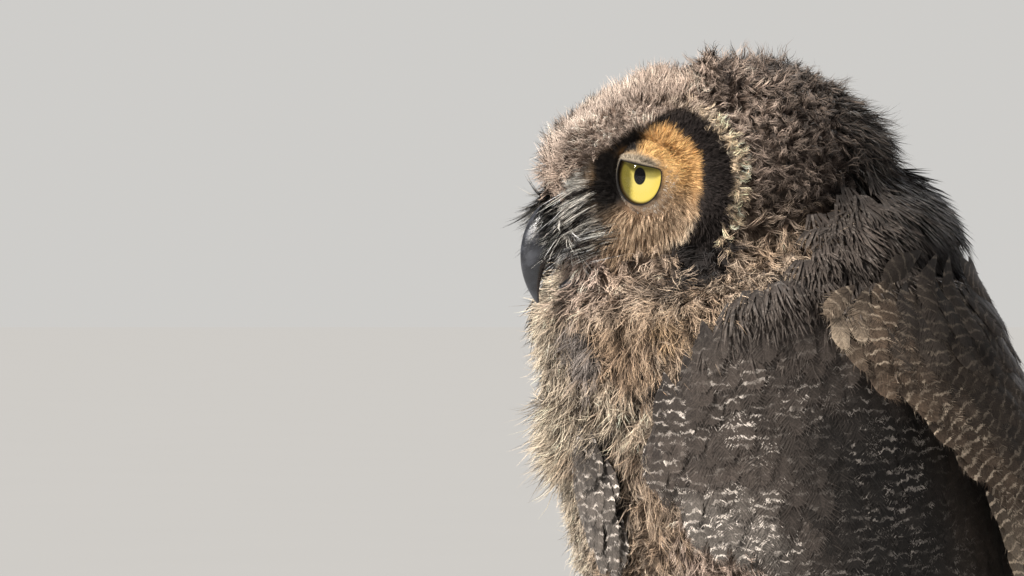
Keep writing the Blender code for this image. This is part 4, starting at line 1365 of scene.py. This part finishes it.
CAP_RADIUS, CAP_HEIGHT = 0.0114, 0.0055  # the cornea's
GLOBE_RADIUS = (CAP_RADIUS**2 + CAP_HEIGHT**2) / (2 * CAP_HEIGHT)  # the sphere that the cornea is a cap of
GLOBE_BACK = CORNEA_AHEAD - GLOBE_RADIUS  # its centre, ahead of the iris
LID_REACH = 0.0125  # the lids follow the globe this far from the line of sight, and slope away beyond it


def add_eye(side, cornea):
    """Iris and eyeball as one turned bowl, and the cornea as a cap of the globe before it."""
    centre, ahead = IRISES[side], look_of(side)
    bowl = [(-0.0012, 0.0), (-0.0010, 0.0034), (-0.0007, 0.0070), (-0.0003, 0.0104), (0.0001, IRIS_RADIUS),
            (-0.0006, 0.0119), (-0.0030, 0.0123), (-0.0090, 0.0120), (-0.0160, 0.0107), (-0.0204, 0.0084),
            (-0.0205, 0.0)]
    points, triangles = turned_surface(bowl, centre, ahead, 64)
    eye = closed_mesh("eye_bowl_" + side, points, triangles)
    inwards = unit(np.cross(ahead, UP)) * (1 if SIDES[side] > 0 else -1)
    add_piece("eye_bowl_" + side, eye, iris_paint("iris_" + side, centre + ahead * -0.0008, inwards),
              "eye", "eye_" + side)
    slant = np.linspace(0, math.asin(CAP_RADIUS / GLOBE_RADIUS), 12)
    dome = [(GLOBE_BACK + GLOBE_RADIUS * math.cos(s), GLOBE_RADIUS * math.sin(s)) for s in slant]
    points, triangles = turned_surface(dome, centre, ahead, 64)
    add_piece("cornea_" + side, closed_mesh("cornea_" + side, points, triangles), cornea, "eye")


def lid_opening(turn):
    """How far the lid's edge stands from the line of sight: a circle, cut above by a slanting line.

    turn is 0 outwards, towards the back of the head, and 90 degrees up.
    """
    slope = np.sin(turn) + 0.20 * np.cos(turn)
    straight = np.where(slope > 0.05, 0.0048 / np.maximum(slope, 1e-3), 1.0)
    circle = np.full_like(turn, 0.01115)
    power = 14.0  # high, so that the corner between line and circle is sharp
    return (circle**-power + straight**-power) ** (-1 / power)


LIDS = {}


def add_lids(side):
    """Both lids of one eye as one ring: in over the globe to the lid's rounded edge, and out onto the face.

    At each angle the surface runs from under the lid's edge, round it, and back over a slightly larger globe
    to beyond the socket, where it sinks under the down.
    """
    centre, ahead = IRISES[side], look_of(side)
    outward = unit(np.cross(ahead, UP)) * SIDES[side]
    outward = outward if (HEAD_AXES.T @ outward)[1] > 0 else -outward
    turn = np.linspace(0, 2 * math.pi, 96, endpoint=False)
    edge = lid_opening(turn)
    upper = smooth(np.sin(turn), -0.15, 0.35)
    # steps: distance beyond the edge, and height over the globe
    steps = [(0.0006, -0.0002), (0.0001, 0.0001), (0.0, 0.0006), (0.0004, 0.0011), (0.0011, 0.0013),
             (0.0020, 0.0012), (0.0030, 0.0011), (0.0041, 0.0008), (0.0052, 0.0001), (0.0064, -0.0014)]
    rings = []
    for beyond, height in steps:
        radius = edge + beyond * (1 + 0.3 * upper)
        fold = 0.0004 * upper * math.sin(beyond * 1500)
        ring = np.sqrt(np.maximum((GLOBE_RADIUS + 0.0002) ** 2 - np.minimum(radius, LID_REACH) ** 2, 0))
        lift = GLOBE_BACK + ring + height + fold - np.maximum(radius - LID_REACH, 0) * 0.75
        spot = centre + lift[:, None] * ahead
        spot = spot + radius[:, None] * (np.cos(turn)[:, None] * outward + np.sin(turn)[:, None] * UP)
        rings.append(spot)
    points = np.array(rings).reshape(-1, 3)
    triangles = grid_triangles(len(steps), len(turn), closed=True)
    normals = point_normals(points, triangles)
    if (normals @ ahead).mean() < 0:
        triangles, normals = triangles[:, ::-1], -normals
    mesh = build_mesh("lids_" + side, points, triangles)
    step = np.repeat(np.arange(len(steps)), len(turn))
    high = np.tile(upper, len(steps))
    _, face_tip = plumage(on_part(points, "head"))
    beyond = Place(points, np.zeros(len(points), int)).out
    fluffy = high * fade(beyond, 0.007, 0.012) * fade(step, 5.5, 6.7)
    fluff = blend(face_tip * 0.7, C.lid * 0.7, fluffy)
    colour = blend(C.black * 0.4, fluff, smooth(step, 3.0, 4.6))
    set_colour(mesh, "plumage", colour)
    add_piece("lids_" + side, mesh, lid_paint, "down")
    LIDS[side] = points.reshape(len(steps), -1, 3), normals.reshape(len(steps), -1, 3), upper


# ---- bill
BILL_CENTRE, BILL_RADIUS = np.array((0.0, -0.0525, -0.035)), 0.0292
# Upper mandible from the base to the hooked tip: degrees round the arc, inner radius, half-width.
BILL_ROWS = ((112, 0.0070, 0.0085), (88, 0.0075, 0.0095), (58, 0.0085, 0.0090), (30, 0.0115, 0.0076),
             (4, 0.0160, 0.0056), (-18, 0.0212, 0.0036), (-34, 0.0262, 0.0016), (-40, 0.0282, 0.0004))


def spline(rows, count):
    """Catmull-Rom curve through the rows, sampled at count even steps."""
    rows = np.array(rows, float)
    steps = np.linspace(0, len(rows) - 1, count)
    first = np.clip(steps.astype(int), 0, len(rows) - 2)
    u = (steps - first)[:, None]
    padded = np.vstack([2 * rows[0] - rows[1], rows, 2 * rows[-1] - rows[-2]])
    a, b, c, d = (padded[first + k] for k in range(4))
    cubic = 3 * b - a - 3 * c + d
    return 0.5 * (2 * b + (c - a) * u + (2 * a - 5 * b + 4 * c - d) * u**2 + cubic * u**3)


def add_bill(horn):
    """Upper mandible: sections round an arc, each an ellipse with a narrower ridge and a sharp lower edge."""
    turn, inner, half_width = spline(BILL_ROWS, 70).T
    inner = np.minimum(inner, BILL_RADIUS - 0.0006)
    middle, half = (BILL_RADIUS + inner) / 2, (BILL_RADIUS - inner) / 2
    angle = np.radians(turn)
    outward = np.stack([np.zeros_like(angle), -np.cos(angle), np.sin(angle)], axis=1)
    around = np.linspace(0, 2 * math.pi, 48, endpoint=False)
    lateral = np.sin(around) * (1 - 0.22 * np.cos(around))
    rings = (BILL_CENTRE + outward * middle[:, None])[:, None]
    rings = rings + outward[:, None] * (np.cos(around)[None] * half[:, None])[..., None]
    rings[..., 0] += lateral[None] * half_width[:, None]
    ends = [rings[0].mean(axis=0), rings[-1].mean(axis=0)]
    points = np.vstack([np.tile(ends[0], (48, 1)), rings.reshape(-1, 3), np.tile(ends[1], (48, 1))])
    points = HEAD_CENTRE + points @ HEAD_AXES.T
    mesh = closed_mesh("bill_horn", points, grid_triangles(72, 48, closed=True))
    add_piece("bill_horn", mesh, horn, "horn", "bill_upper")


# ---- head coats
def coat_length(roots, lift, stretch=1.0):
    """The strand that just reaches the coat's outer shape at this lift."""
    return roots.depth / np.sin(np.radians(lift)) * stretch


def colours_at(roots, ahead=0.0):
    """The markings where a tuft shows: at its outer point, moved ahead along the lie of the coat."""
    return plumage(Place(roots.outer + lie_of_coat(roots) * np.asarray(ahead)[..., None], roots.part))


def head_zones():
    """Which of the skin's points lie on the head, and on its discs, forehead and chin."""
    place, q = WHOLE, WHOLE.q
    head = place.among("head", "ear")
    disc = head & (place.reach < 1.0) & (q[:, 1] < 0.012) & (under_brow(place) > 0.5)
    fore = head & ~disc & (q[:, 1] < -0.024) & (q[:, 2] > -0.006)
    chin = head & ~disc & (q[:, 1] < -0.018) & (q[:, 2] <= -0.006)
    return head, disc, fore, chin


ON_HEAD, ON_DISC, ON_FOREHEAD, ON_CHIN = head_zones()


def crown_down(down):
    """Crown, nape and cheeks: curly, woolly clumps whose pale ends turn every way over dark roots."""
    roots = scatter(ON_HEAD & ~ON_DISC & ~ON_FOREHEAD & ~ON_CHIN, 0.0024, 21)
    q = roots.q
    ruff = smooth(-q[:, 2], 0.010, 0.028)
    rim = bump(roots.reach, 1.12, 0.12) * (roots.out > 0)
    nape = smooth(q[:, 1], 0.030, 0.060)
    flatter = np.maximum(np.maximum(ruff, 0.8 * rim), 0.9 * nape)
    lift = 78 - 42 * flatter
    length = np.minimum(coat_length(roots, lift, 1.24), 0.0165) * (1 + 0.16 * wobble(roots.outer, 0.006, 18))
    length = length + 0.011 * smooth(q[:, 1], 0.040, 0.060) * fade(q[:, 2], 0.015, 0.035)
    length = length + 0.0042 * smooth(q[:, 2], 0.020, 0.040) * smooth(q[:, 1], -0.030, 0.010)
    flow = lie_of_coat(roots)
    flow = tangent(blend(flow * 0.45 + every_way(roots, 20), flow, 0.85 * flatter), roots.normal)
    sets = [wool(roots, 22, length, lift, -102 + 72 * flatter, 0.00038, colours_at(roots, length * 0.15),
                 spread=0.0016, close=0.62, wander=0.14, frizz=0.50, yaw=0.35, wave=0.0009, flow=flow,
                 tip_share=(0.46, 0.88), shade=0.26, lock=0.75)]
    # a line of cream curls close behind the black rim
    line = ON_HEAD & (WHOLE.reach > 0.98) & (WHOLE.reach < 1.12)
    line &= (WHOLE.out > 0.006) & (np.abs(WHOLE.around) < 62)
    roots = scatter(line, 0.0020, 33)
    edge_root, edge_tip = colours_at(roots)
    bright = bump(roots.reach, 1.05, 0.075) * (1 - 0.6 * smooth(roots.around, 35, 65))
    edge_tip = blend(edge_tip, C.cream_tip * (1.10, 1.0, 0.88), bright)
    edge_root = edge_root * (0.5 + 2.0 * bright)[:, None]
    flow = stirred_lie(roots, 0.7, 34)
    length = np.minimum(coat_length(roots, 52, 1.2), 0.0082) + 0.0010
    sets.append(wool(roots, 35, length, 60, -60, 0.00044, (edge_root, edge_tip), spread=0.0013, wander=0.12,
                     frizz=0.4, yaw=0.3, wave=0.0008, flow=flow, tip_share=(0.12, 0.60), shade=0.22,
                     dome=0.9))
    add_coat("crown_down", sets, down, "down", "ear_tuft_left", "ear_tuft_right")


def forehead_down(down):
    """Forehead: finer, paler and smoother than the crown; chin and moustache under it."""
    roots = scatter(ON_FOREHEAD, 0.00180, 23)
    roots = roots.picked(near_bill(roots) < 0.9)
    q = roots.q
    front = smooth(-q[:, 1], 0.050, 0.066) * smooth(q[:, 2], -0.014, -0.002) * fade(q[:, 2], 0.018, 0.034)
    brow = smooth(q[:, 2], 0.018, 0.032)
    lift = 52 - 20 * smooth(-q[:, 1], 0.055, 0.075) * (1 - front) + 6 * front + 12 * brow
    length = np.minimum(coat_length(roots, lift, 1.12), 0.008) + 0.0008 + 0.0070 * front + 0.0038 * brow
    flow = stirred_lie(roots, 0.55, 19)
    sets = [wool(roots, 24, length, lift, -36, 0.00033, colours_at(roots, length * 0.3), blades=10,
                 segments=3, spread=0.0014, close=0.55, wander=0.14, yaw=0.35, wave=0.0007, flow=flow,
                 shade=0.22, dome=0.9, lock=0.5)]
    # chin and moustache
    roots = scatter(ON_CHIN, 0.0019, 25)
    roots = roots.picked((near_bill(roots) < 0.97) | (roots.q[:, 2] < -0.037))
    beside = bump(lengths((roots.q - CHIN) / (0.016, 0.012, 0.012)), 0, 1.0)
    length = np.minimum(coat_length(roots, 38, 1.1), 0.010) + 0.002 + 0.0095 * beside
    sets.append(wool(roots, 26, length, 44 + 28 * beside, -50 + 22 * beside, 0.00036,
                     colours_at(roots, length * 0.4), segments=3, spread=0.0015, close=0.5, wander=0.16,
                     yaw=0.8, wave=0.0007, tip_share=(0.25, 0.8), shade=0.22, dome=0.8, lock=0.5))
    add_coat("forehead_down", sets, down, "down")


def disc_filaments(filament):
    """Facial discs: fine filaments that radiate from the eyes, blacker in the rim, and the lids' fringes."""
    roots = scatter(ON_DISC, 0.00100, 27)
    clear = np.ones(len(roots), bool)
    for side in SIDES:
        offset = roots.outer - IRISES[side]
        away = lengths(offset - np.outer(offset @ look_of(side), look_of(side)))
        clear &= away > LID_REACH + 0.0001
    roots = roots.picked(clear & (near_bill(roots) < 0.7))
    rim = smooth(roots.reach, 0.6, 0.75) * smooth(roots.out, 0.0, 0.01)
    below = smooth(-roots.around, 10, 50)
    lift = 15 + 22 * rim + 8 * below
    length = 0.0052 - 0.0006 * rim + 0.0015 * below
    sets = [tufts(roots, 28, length, lift, -8, 0.00024, colours_at(roots, 0.0022), blades=5, segments=2,
                  spread=0.0007, close=0.2, wander=0.10, yaw=0.12, tip_share=(0.0, 0.5), shade=0.14)]
    sets += [lid_fringe(side) for side in SIDES]
    add_coat("disc_filaments", sets, filament, "down")


CHIN = np.array((0.0, -0.052, -0.043))  # just below the bill's lower half, in head axes


class Rooted(Place):
    """Roots worked out point by point instead of scattered: the same fields as Roots has."""

    def __init__(self, points, normals, part="head", depth=0.002):
        self.skin, self.outer, self.normal = points, points, normals
        self.depth = np.full(len(points), depth)
        super().__init__(points, on_part(points, part).part)


def lid_fringe(side):
    """Short filaments in rings on the lids: pale over the upper lid, as the disc's own round the rest."""
    points, normals, high = LIDS[side]
    rng = default_rng(31)
    sides = points.shape[1]
    row = rng.uniform(3.5, points.shape[0] - 1.001, 4400)
    column = rng.uniform(0, sides, 4400)
    low, left = row.astype(int), column.astype(int) % sides
    shares = (row - low)[:, None], (column - column.astype(int))[:, None]
    read = lambda grid: read_grid(grid, low, left, (left + 1) % sides, *shares)
    spots, up = read(points), unit(read(normals))
    roots = Rooted(spots, up)
    outward = tangent(spots - IRISES[side], up)
    place = Place(spots + outward * 0.003, roots.part)
    root, tip = plumage(place)
    fluffy = high[left] * fade(place.out, 0.010, 0.014) * fade(row, 5.4, 6.4)
    fluffy = fluffy * smooth(place.out, -0.0135, -0.0095)
    speckled = C.lid * rng.uniform(0.25, 1.15, (len(row), 1))
    root, tip = both(root, tip, speckled * 0.4, speckled, fluffy)
    below = (1 - high[left]) * fade(row, 5.4, 6.6) * smooth(place.out, -0.0125, -0.0070)
    flecked = rng.random(len(row)) < 0.5
    tip = blend(tip, np.where(flecked[:, None], C.bristle_pale * 0.8, C.umber), 0.85 * below)
    length = 0.0028 + 0.0034 * smooth(row, 5, 8)
    lift = 14 + 7 * smooth(row, 5.5, 7)
    return tufts(roots, 32, length, lift, -8, 0.00024, (root, tip), blades=3, segments=2, spread=0.0007,
                 close=0.1, wander=0.16, yaw=0.28, flow=outward, tip_share=(0.0, 0.5), shade=0.2)


def add_bristles(down):
    """Long bristles from before each eye, forward and down over the bill's base: white over black."""
    rng = default_rng(41)
    place, q = WHOLE, WHOLE.q
    lores = place.among("head") & (under_brow(place) > 0.6) & (place.reach > 0.62) & (place.up < -0.003)
    lores &= (q[:, 1] < -0.043) & (q[:, 2] > -0.031)
    sets = []
    for seed, spacing, tone, length, width, lift, strands in (
            (43, 0.0016, "rim", 0.015, 0.00034, 13, 4), (45, 0.0020, "bristle_pale", 0.018, 0.00031, 18, 4),
            (47, 0.0028, "black", 0.018, 0.00028, 21, 4), (49, 0.0048, "black", 0.023, 0.00028, 30, 3)):
        roots = scatter(lores, spacing, seed)
        roots = roots.picked(near_bill(roots) < 0.93)
        sign = np.where(roots.q[:, 0] < 0, -1.0, 1.0)
        ahead = smooth(-roots.q[:, 1], 0.045, 0.075)
        heading = np.column_stack([sign * (0.10 + 0.22 * ahead), -1.0 + 0.15 * ahead, -0.20 - 0.62 * ahead])
        flow = tangent(heading @ HEAD_AXES.T, roots.normal)
        tip = np.tile(getattr(C, tone), (len(roots), 1)) * rng.uniform(0.75, 1.2, (len(roots), 1))
        size = length * rng.uniform(0.6, 1.15, len(roots))
        sets.append(tufts(roots, seed + 1, size, lift, -26, width, (tip * 0.85, tip), blades=strands,
                          segments=5, spread=0.0008, close=0.3, wander=0.04, frizz=0.06, yaw=0.07, flow=flow,
                          shade=0.14))
    add_coat("bristles", sets, down, "down")


ON_BODY, FEATHERED, PAST_WOOL = WHOLE.among("neck", "trunk"), feather_zone(WHOLE), beyond_wool(WHOLE)


def breast_down(down):
    """Neck and breast: loose wool in small curling locks."""
    roots = scatter(ON_BODY & (FEATHERED < 0.70), 0.0028, 51)
    sparse = default_rng(71).random(len(roots)) < 0.16 * fade(roots.z, 0.19, 0.25)
    roots = roots.picked(~sparse)
    frontal = bump(roots.turn, -15, 60)
    spiky = patch_at(roots, -34, 0.245, 34, 0.015)
    loose = smooth(wobble(roots.outer, 0.03, 17), -0.2, 0.8)
    lift = np.clip(46 + 10 * frontal + 8 * loose, 30, 66)
    length = np.clip(coat_length(roots, lift, 1.25), 0.009, 0.0175)
    length = length * (1 + 0.14 * wobble(roots.outer, 0.008, 16)) + 0.009 * spiky
    stir = tangent(np.column_stack([wobble(roots.outer, 0.022, n) for n in (31, 32, 33)]), roots.normal)
    flow = tangent(lie_of_coat(roots) + stir * 0.5 + every_way(roots, 30) * 0.40, roots.normal)
    colours = colours_at(roots, length * 0.4)
    sets = [wool(roots, 52, length, lift, -62 + 40 * spiky, 0.00039, colours, frizz=0.48, flow=flow)]
    # loose locks that hang over the feathers' border
    roots = scatter(ON_BODY & (PAST_WOOL > -12) & (PAST_WOOL < -1) & (WHOLE.z < 0.30), 0.0058, 65)
    count, sideways = len(roots), np.sign(roots.turn)
    turned = np.column_stack([-roots.normal[:, 1], roots.normal[:, 0], np.zeros(count)]) * sideways[:, None]
    flow = tangent(lie_of_coat(roots) + turned * 0.80 + every_way(roots, 67) * 0.35, roots.normal)
    length = np.clip(coat_length(roots, 50, 1.2), 0.012, 0.018) + 0.006
    before = Place(roots.outer - turned * 0.008, roots.part)
    sets.append(wool(roots, 66, length, 58, -52, 0.00040, plumage(before), flow=flow))
    add_coat("breast_down", sets, down, "down")


def under_down(down):
    """Broad, low down that fills the coat beneath the feathers."""
    roots = scatter(ON_BODY & (FEATHERED > 0.2), 0.0076, 49)
    length = np.clip(coat_length(roots, 34, 0.85), 0.008, 0.016)
    sets = [tufts(roots, 50, length, 34, -14, 0.0013, colours_at(roots), blades=8, segments=2, spread=0.0040,
                  close=-0.3, wander=0.2, frizz=0.2, yaw=0.3)]
    add_coat("under_down", sets, down, "down")


def body_feathers(feather):
    """Soft vanes with broken pale bars along their edges, smaller and darker behind, and the nape."""
    turned = np.abs(WHOLE.turn)
    nape = (WHOLE.z > 0.300) & (turned > 64) | (WHOLE.z > 0.286) & (WHOLE.turn > 0)
    roots = scatter(ON_BODY & (FEATHERED > 0.5) & ~nape, 0.0068, 53)
    behind = smooth(np.abs(roots.turn), 78, 100)
    high = smooth(roots.z, 0.26, 0.31)
    beside = fade(beyond_wool(roots), 2, 18)
    beside = np.maximum(beside * (roots.turn > 0), patch_at(roots, -14, 0.217, 14, 0.034))
    sunk = fade(feather_zone(roots), 0.60, 0.99)
    length = (0.030 - 0.009 * high - 0.005 * behind) * (1 - 0.30 * beside)
    width = length * (0.52 - 0.06 * behind)
    flow = stirred_lie(roots, 0.20, 55)
    laid = Laid(roots.outer - flow * (length * 0.45)[:, None], roots.normal, flow, roots.part)
    under_wing_shade = smooth(np.abs(roots.turn), 40, 62) * smooth(0.285 - roots.z, 0, 0.03)
    barred = smooth(wobble(roots.p * (1, 1, 0.5), 0.030, 27), -0.25, 0.55)
    white = patch_at(roots, -14, 0.217, 12, 0.028) + 2.8 * patch_at(roots, 27, 0.210, 16, 0.026)
    # painted shade: the pale bars are dimmed on the flank under the wing and on the neck under the head,
    # where those lie in shade
    under_head_shade = smooth(roots.z, 0.266, 0.288) * smooth(roots.turn, 20, 32)
    bars = np.clip(0.25 + 1.15 * barred + 1.2 * white, 0, 2.6) * (1 - 0.85 * behind) * (1 - 0.45 * under_wing_shade)
    bars = bars * (1 - 0.85 * under_head_shade)
    sets = [vaned(laid, length, width, feather_colours(roots), 54, bars=bars, barbs=19, sink=0.0040,
                  rise=0.0010 - 0.0010 * behind - 0.0032 * sunk, fray=0.13, loose=0.05, edged=0.6,
                  shade=0.11)]
    # the nape's small dark feathers lie close, from under the head's down to the wings
    border = 61 + 9 * wobble(WHOLE.p, 0.014, 72)
    under_cheek = (WHOLE.z > 0.278) & (WHOLE.turn > 0) & (PAST_WOOL > 0)
    roots = scatter(ON_BODY & ((WHOLE.z > 0.292) & (turned > border) | under_cheek), 0.0046, 61)
    depth = np.minimum(roots.depth, 0.0035)
    close = Rooted(roots.outer - roots.normal * depth[:, None], roots.normal, "neck")
    sets.append(tufts(close, 62, 0.0160, 17, -10, 0.0013, feather_colours(close), blades=8, segments=3,
                      spread=0.0026, close=-0.25, wander=0.05, yaw=0.18, twist=0.25, fan=24, flat=True,
                      bars=0.1, tip_share=(0.0, 0.8), shade=0.16))
    add_coat("body_feathers", sets, feather, "feather")


def leg_down(down):
    """Thighs, shanks and toes: short, dense and buff."""
    roots = scatter(WHOLE.among("thigh"), 0.0040, 55)
    length = coat_length(roots, 30, 1.1)
    sets = [tufts(roots, 56, length, 30, -14, 0.00055, colours_at(roots), blades=8, segments=3, spread=0.0028,
                  close=0.3, wander=0.12, frizz=0.2, yaw=0.25, wave=0.0005, tip_share=(0.1, 0.7))]
    under = point_normals(OUTER, TRIANGLES)[:, 2] < -0.6
    roots = scatter(WHOLE.among("shank", "toe") & ~under, 0.0029, 57)
    on_toe = smooth(0.018 - roots.z, 0, 0.004)
    length = between(0.0105, 0.0052, on_toe)
    sets.append(tufts(roots, 58, length, 24 - 12 * on_toe, -12, 0.0004, colours_at(roots), blades=8,
                      segments=3, spread=0.0018, close=0.3, wander=0.1, frizz=0.12, yaw=0.2,
                      tip_share=(0.1, 0.7)))
    add_coat("leg_down", sets, down, "foot")


def wing_down(covert):
    """Small scale-like feathers over the wings' whole skin, to dress their edges and undersides."""
    roots = scatter(WHOLE.among("wing"), 0.0050, 63)
    root, tip = colours_at(roots)
    front_edge = np.interp(roots.z, (0.15, 0.20, 0.245, 0.285), (112, 100, 82, 64))
    edge = fade(np.abs(roots.turn) - front_edge, 4, 14)
    tip = blend(tip, C.wing_edge, edge)
    sets = [tufts(roots, 64, 0.0085, 12, -8, 0.0016, (root, tip), blades=6, segments=2, spread=0.0024,
                  close=-0.3, wander=0.06, yaw=0.2, twist=0.25, fan=26, flat=True, bars=0.3 + 0.7 * edge,
                  tip_share=(0.0, 0.8))]
    add_coat("wing_small_feathers", sets, covert, "feather")


# ---- camera, light and floor
CAMERA_TURN = math.radians(45)  # from straight ahead of the bird towards its left
CAMERA_DISTANCE, VIEW_WIDTH, SENSOR_WIDTH = 3.0, 0.4096, 36
AIM_ASIDE, AIM_BELOW = -0.0812, 0.0476  # the view's middle from the head's centre
KEY_STRENGTH, KEY_ANGLE, FILL_STRENGTH = 6.5, math.radians(9), 0.125
BACKDROP = (0.62, 0.61, 0.59)


def soft_light(name, place, target, size, power, colour=(1, 1, 1)):
    """A round lamp that faces the target and isn't seen itself."""
    light = bpy.data.lights.new(name, "AREA")
    light.shape, light.size, light.energy, light.color = "DISK", size, power, colour
    lamp = add_object(name, light)
    lamp.location = place
    lamp.rotation_euler = (Vector(target) - Vector(place)).to_track_quat("-Z", "Y").to_euler()
    lamp.visible_camera = False


def studio():
    """Camera at head height on the bird's left, and a soft key from high on its front."""
    scene = bpy.context.scene
    scene.view_settings.view_transform = "Standard"
    back = Vector((math.sin(CAMERA_TURN), -math.cos(CAMERA_TURN), 0))
    right = Vector((math.cos(CAMERA_TURN), math.sin(CAMERA_TURN), 0))
    # a way as the camera sees it: to the right, nearer and up
    seen = lambda aside, near, high: right * aside + back * near + Vector((0, 0, high))
    aim = Vector(HEAD_CENTRE) + right * AIM_ASIDE
    aim.z = HEAD_CENTRE[2] - AIM_BELOW
    camera_data = bpy.data.cameras.new("camera")
    camera_data.lens = SENSOR_WIDTH * CAMERA_DISTANCE / VIEW_WIDTH
    camera_data.clip_end = 200
    camera = add_object("camera", camera_data)
    camera.location = aim + back * CAMERA_DISTANCE
    camera.rotation_euler = (-back).to_track_quat("-Z", "Y").to_euler()
    scene.camera = camera

    key_data = bpy.data.lights.new("key", "SUN")
    key_data.energy, key_data.angle, key_data.color = KEY_STRENGTH, KEY_ANGLE, (1.0, 0.955, 0.89)
    key = add_object("key", key_data)
    key.rotation_euler = seen(-0.80, 0.56, 0.80).to_track_quat("Z", "Y").to_euler()
    target = Vector((0, -0.03, 0.28))
    soft_light("fill", target + seen(1.2, 1.8, 0.4), target, 2.0, 3.0, (0.97, 0.97, 1.0))
    # the catchlight stands where the cornea mirrors it to the camera, above the pupil and nearer the bill
    eye, sight = Vector(IRISES["left"]), Vector(look_of("left"))
    spot = sight * -GLOBE_BACK - right * 0.00224 + Vector((0, 0, 0.0043))
    aside, high = spot.dot(right) / GLOBE_RADIUS, spot.z / GLOBE_RADIUS
    normal = right * aside + Vector((0, 0, high)) + back * math.sqrt(1 - aside**2 - high**2)
    mirrored = normal * (2 * normal.dot(back)) - back
    soft_light("catchlight", eye + mirrored * 1.3, eye, 0.14, 4.0)
    soft_light("behind", target + seen(0.5, -1.9, 0.7), target, 1.6, 16, (0.98, 0.97, 1.0))


def backdrop():
    """A world that lights evenly and looks like the backdrop to the camera."""
    world = bpy.data.worlds.new("studio")
    world.use_nodes = True
    nodes, links = world.node_tree.nodes, world.node_tree.links
    light = nodes["Background"]
    light.inputs[0].default_value, light.inputs[1].default_value = (0.95, 0.96, 1.0, 1), FILL_STRENGTH
    seen = nodes.new("ShaderNodeBackground")
    seen.inputs[0].default_value, seen.inputs[1].default_value = (*BACKDROP, 1), 1.0
    path, mixed = nodes.new("ShaderNodeLightPath"), nodes.new("ShaderNodeMixShader")
    links.new(path.outputs["Is Camera Ray"], mixed.inputs[0])
    links.new(light.outputs[0], mixed.inputs[1])
    links.new(seen.outputs[0], mixed.inputs[2])
    links.new(mixed.outputs[0], nodes["World Output"].inputs["Surface"])
    bpy.context.scene.world = world


def add_floor():
    """A pale, level disc about the origin: rings of growing radius."""
    turn = np.linspace(0, 2 * math.pi, 64, endpoint=False)
    rings = [np.column_stack([r * np.cos(turn), r * np.sin(turn), 0 * turn]) for r in (0.001, 0.5, 3.0, 55.0)]
    triangles = grid_triangles(len(rings), 64, closed=True)[:, ::-1]
    floor = add_object("floor", build_mesh("floor", np.vstack(rings), triangles))
    paint = Paint("floor", Roughness=0.8, Specular_IOR_Level=0.1)
    tone = paint.mix(paint.noise(3.0, 2.0), (0.448, 0.450, 0.452), (0.458, 0.460, 0.462))
    floor.data.materials.append(paint.feed(Base_Color=tone))


# ---- the whole bird
down = down_paint("down")
lid_paint = down_paint("lid_skin", share=0.0, sheen=0.05)
horn = horn_paint()
skin_mesh = build_mesh("skin", INNER, TRIANGLES)
set_colour(skin_mesh, "plumage", blend(*plumage(WHOLE), 0.25) * 0.8)
add_piece("skin", skin_mesh, skin_paint(), "down", *[name for name in FLESH if "ear_tuft" not in name])
add_bill(horn)
cornea = cornea_paint()
for side in SIDES:
    add_eye(side, cornea)
    add_lids(side)
for name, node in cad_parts.items():
    if name.startswith(("bill", "claw")):
        node.data.materials.clear()
        node.data.materials.append(horn)
filament = down_paint("filament", share=0.55, sheen=0.05)
crown_down(down)
forehead_down(down)
disc_filaments(filament)
add_bristles(filament)
body_feather = vane_paint("body_feather", (0.82, 0.73, 0.65), 4.3, 0.26, wave=0.50, gaps=0.95)
breast_down(down)
under_down(down)
body_feathers(body_feather)
leg_down(down)
covert = vane_paint("wing_covert", (0.70, 0.57, 0.43), 4.6, 0.20, wave=0.30, gaps=0.55)
wing_down(covert)
flight = vane_paint("flight_feather", (0.19, 0.135, 0.090), 14.0, 0.36, wave=0.13, gaps=0.25)
wings(covert, flight)
tail(flight, body_feather)
studio()
backdrop()
add_floor()
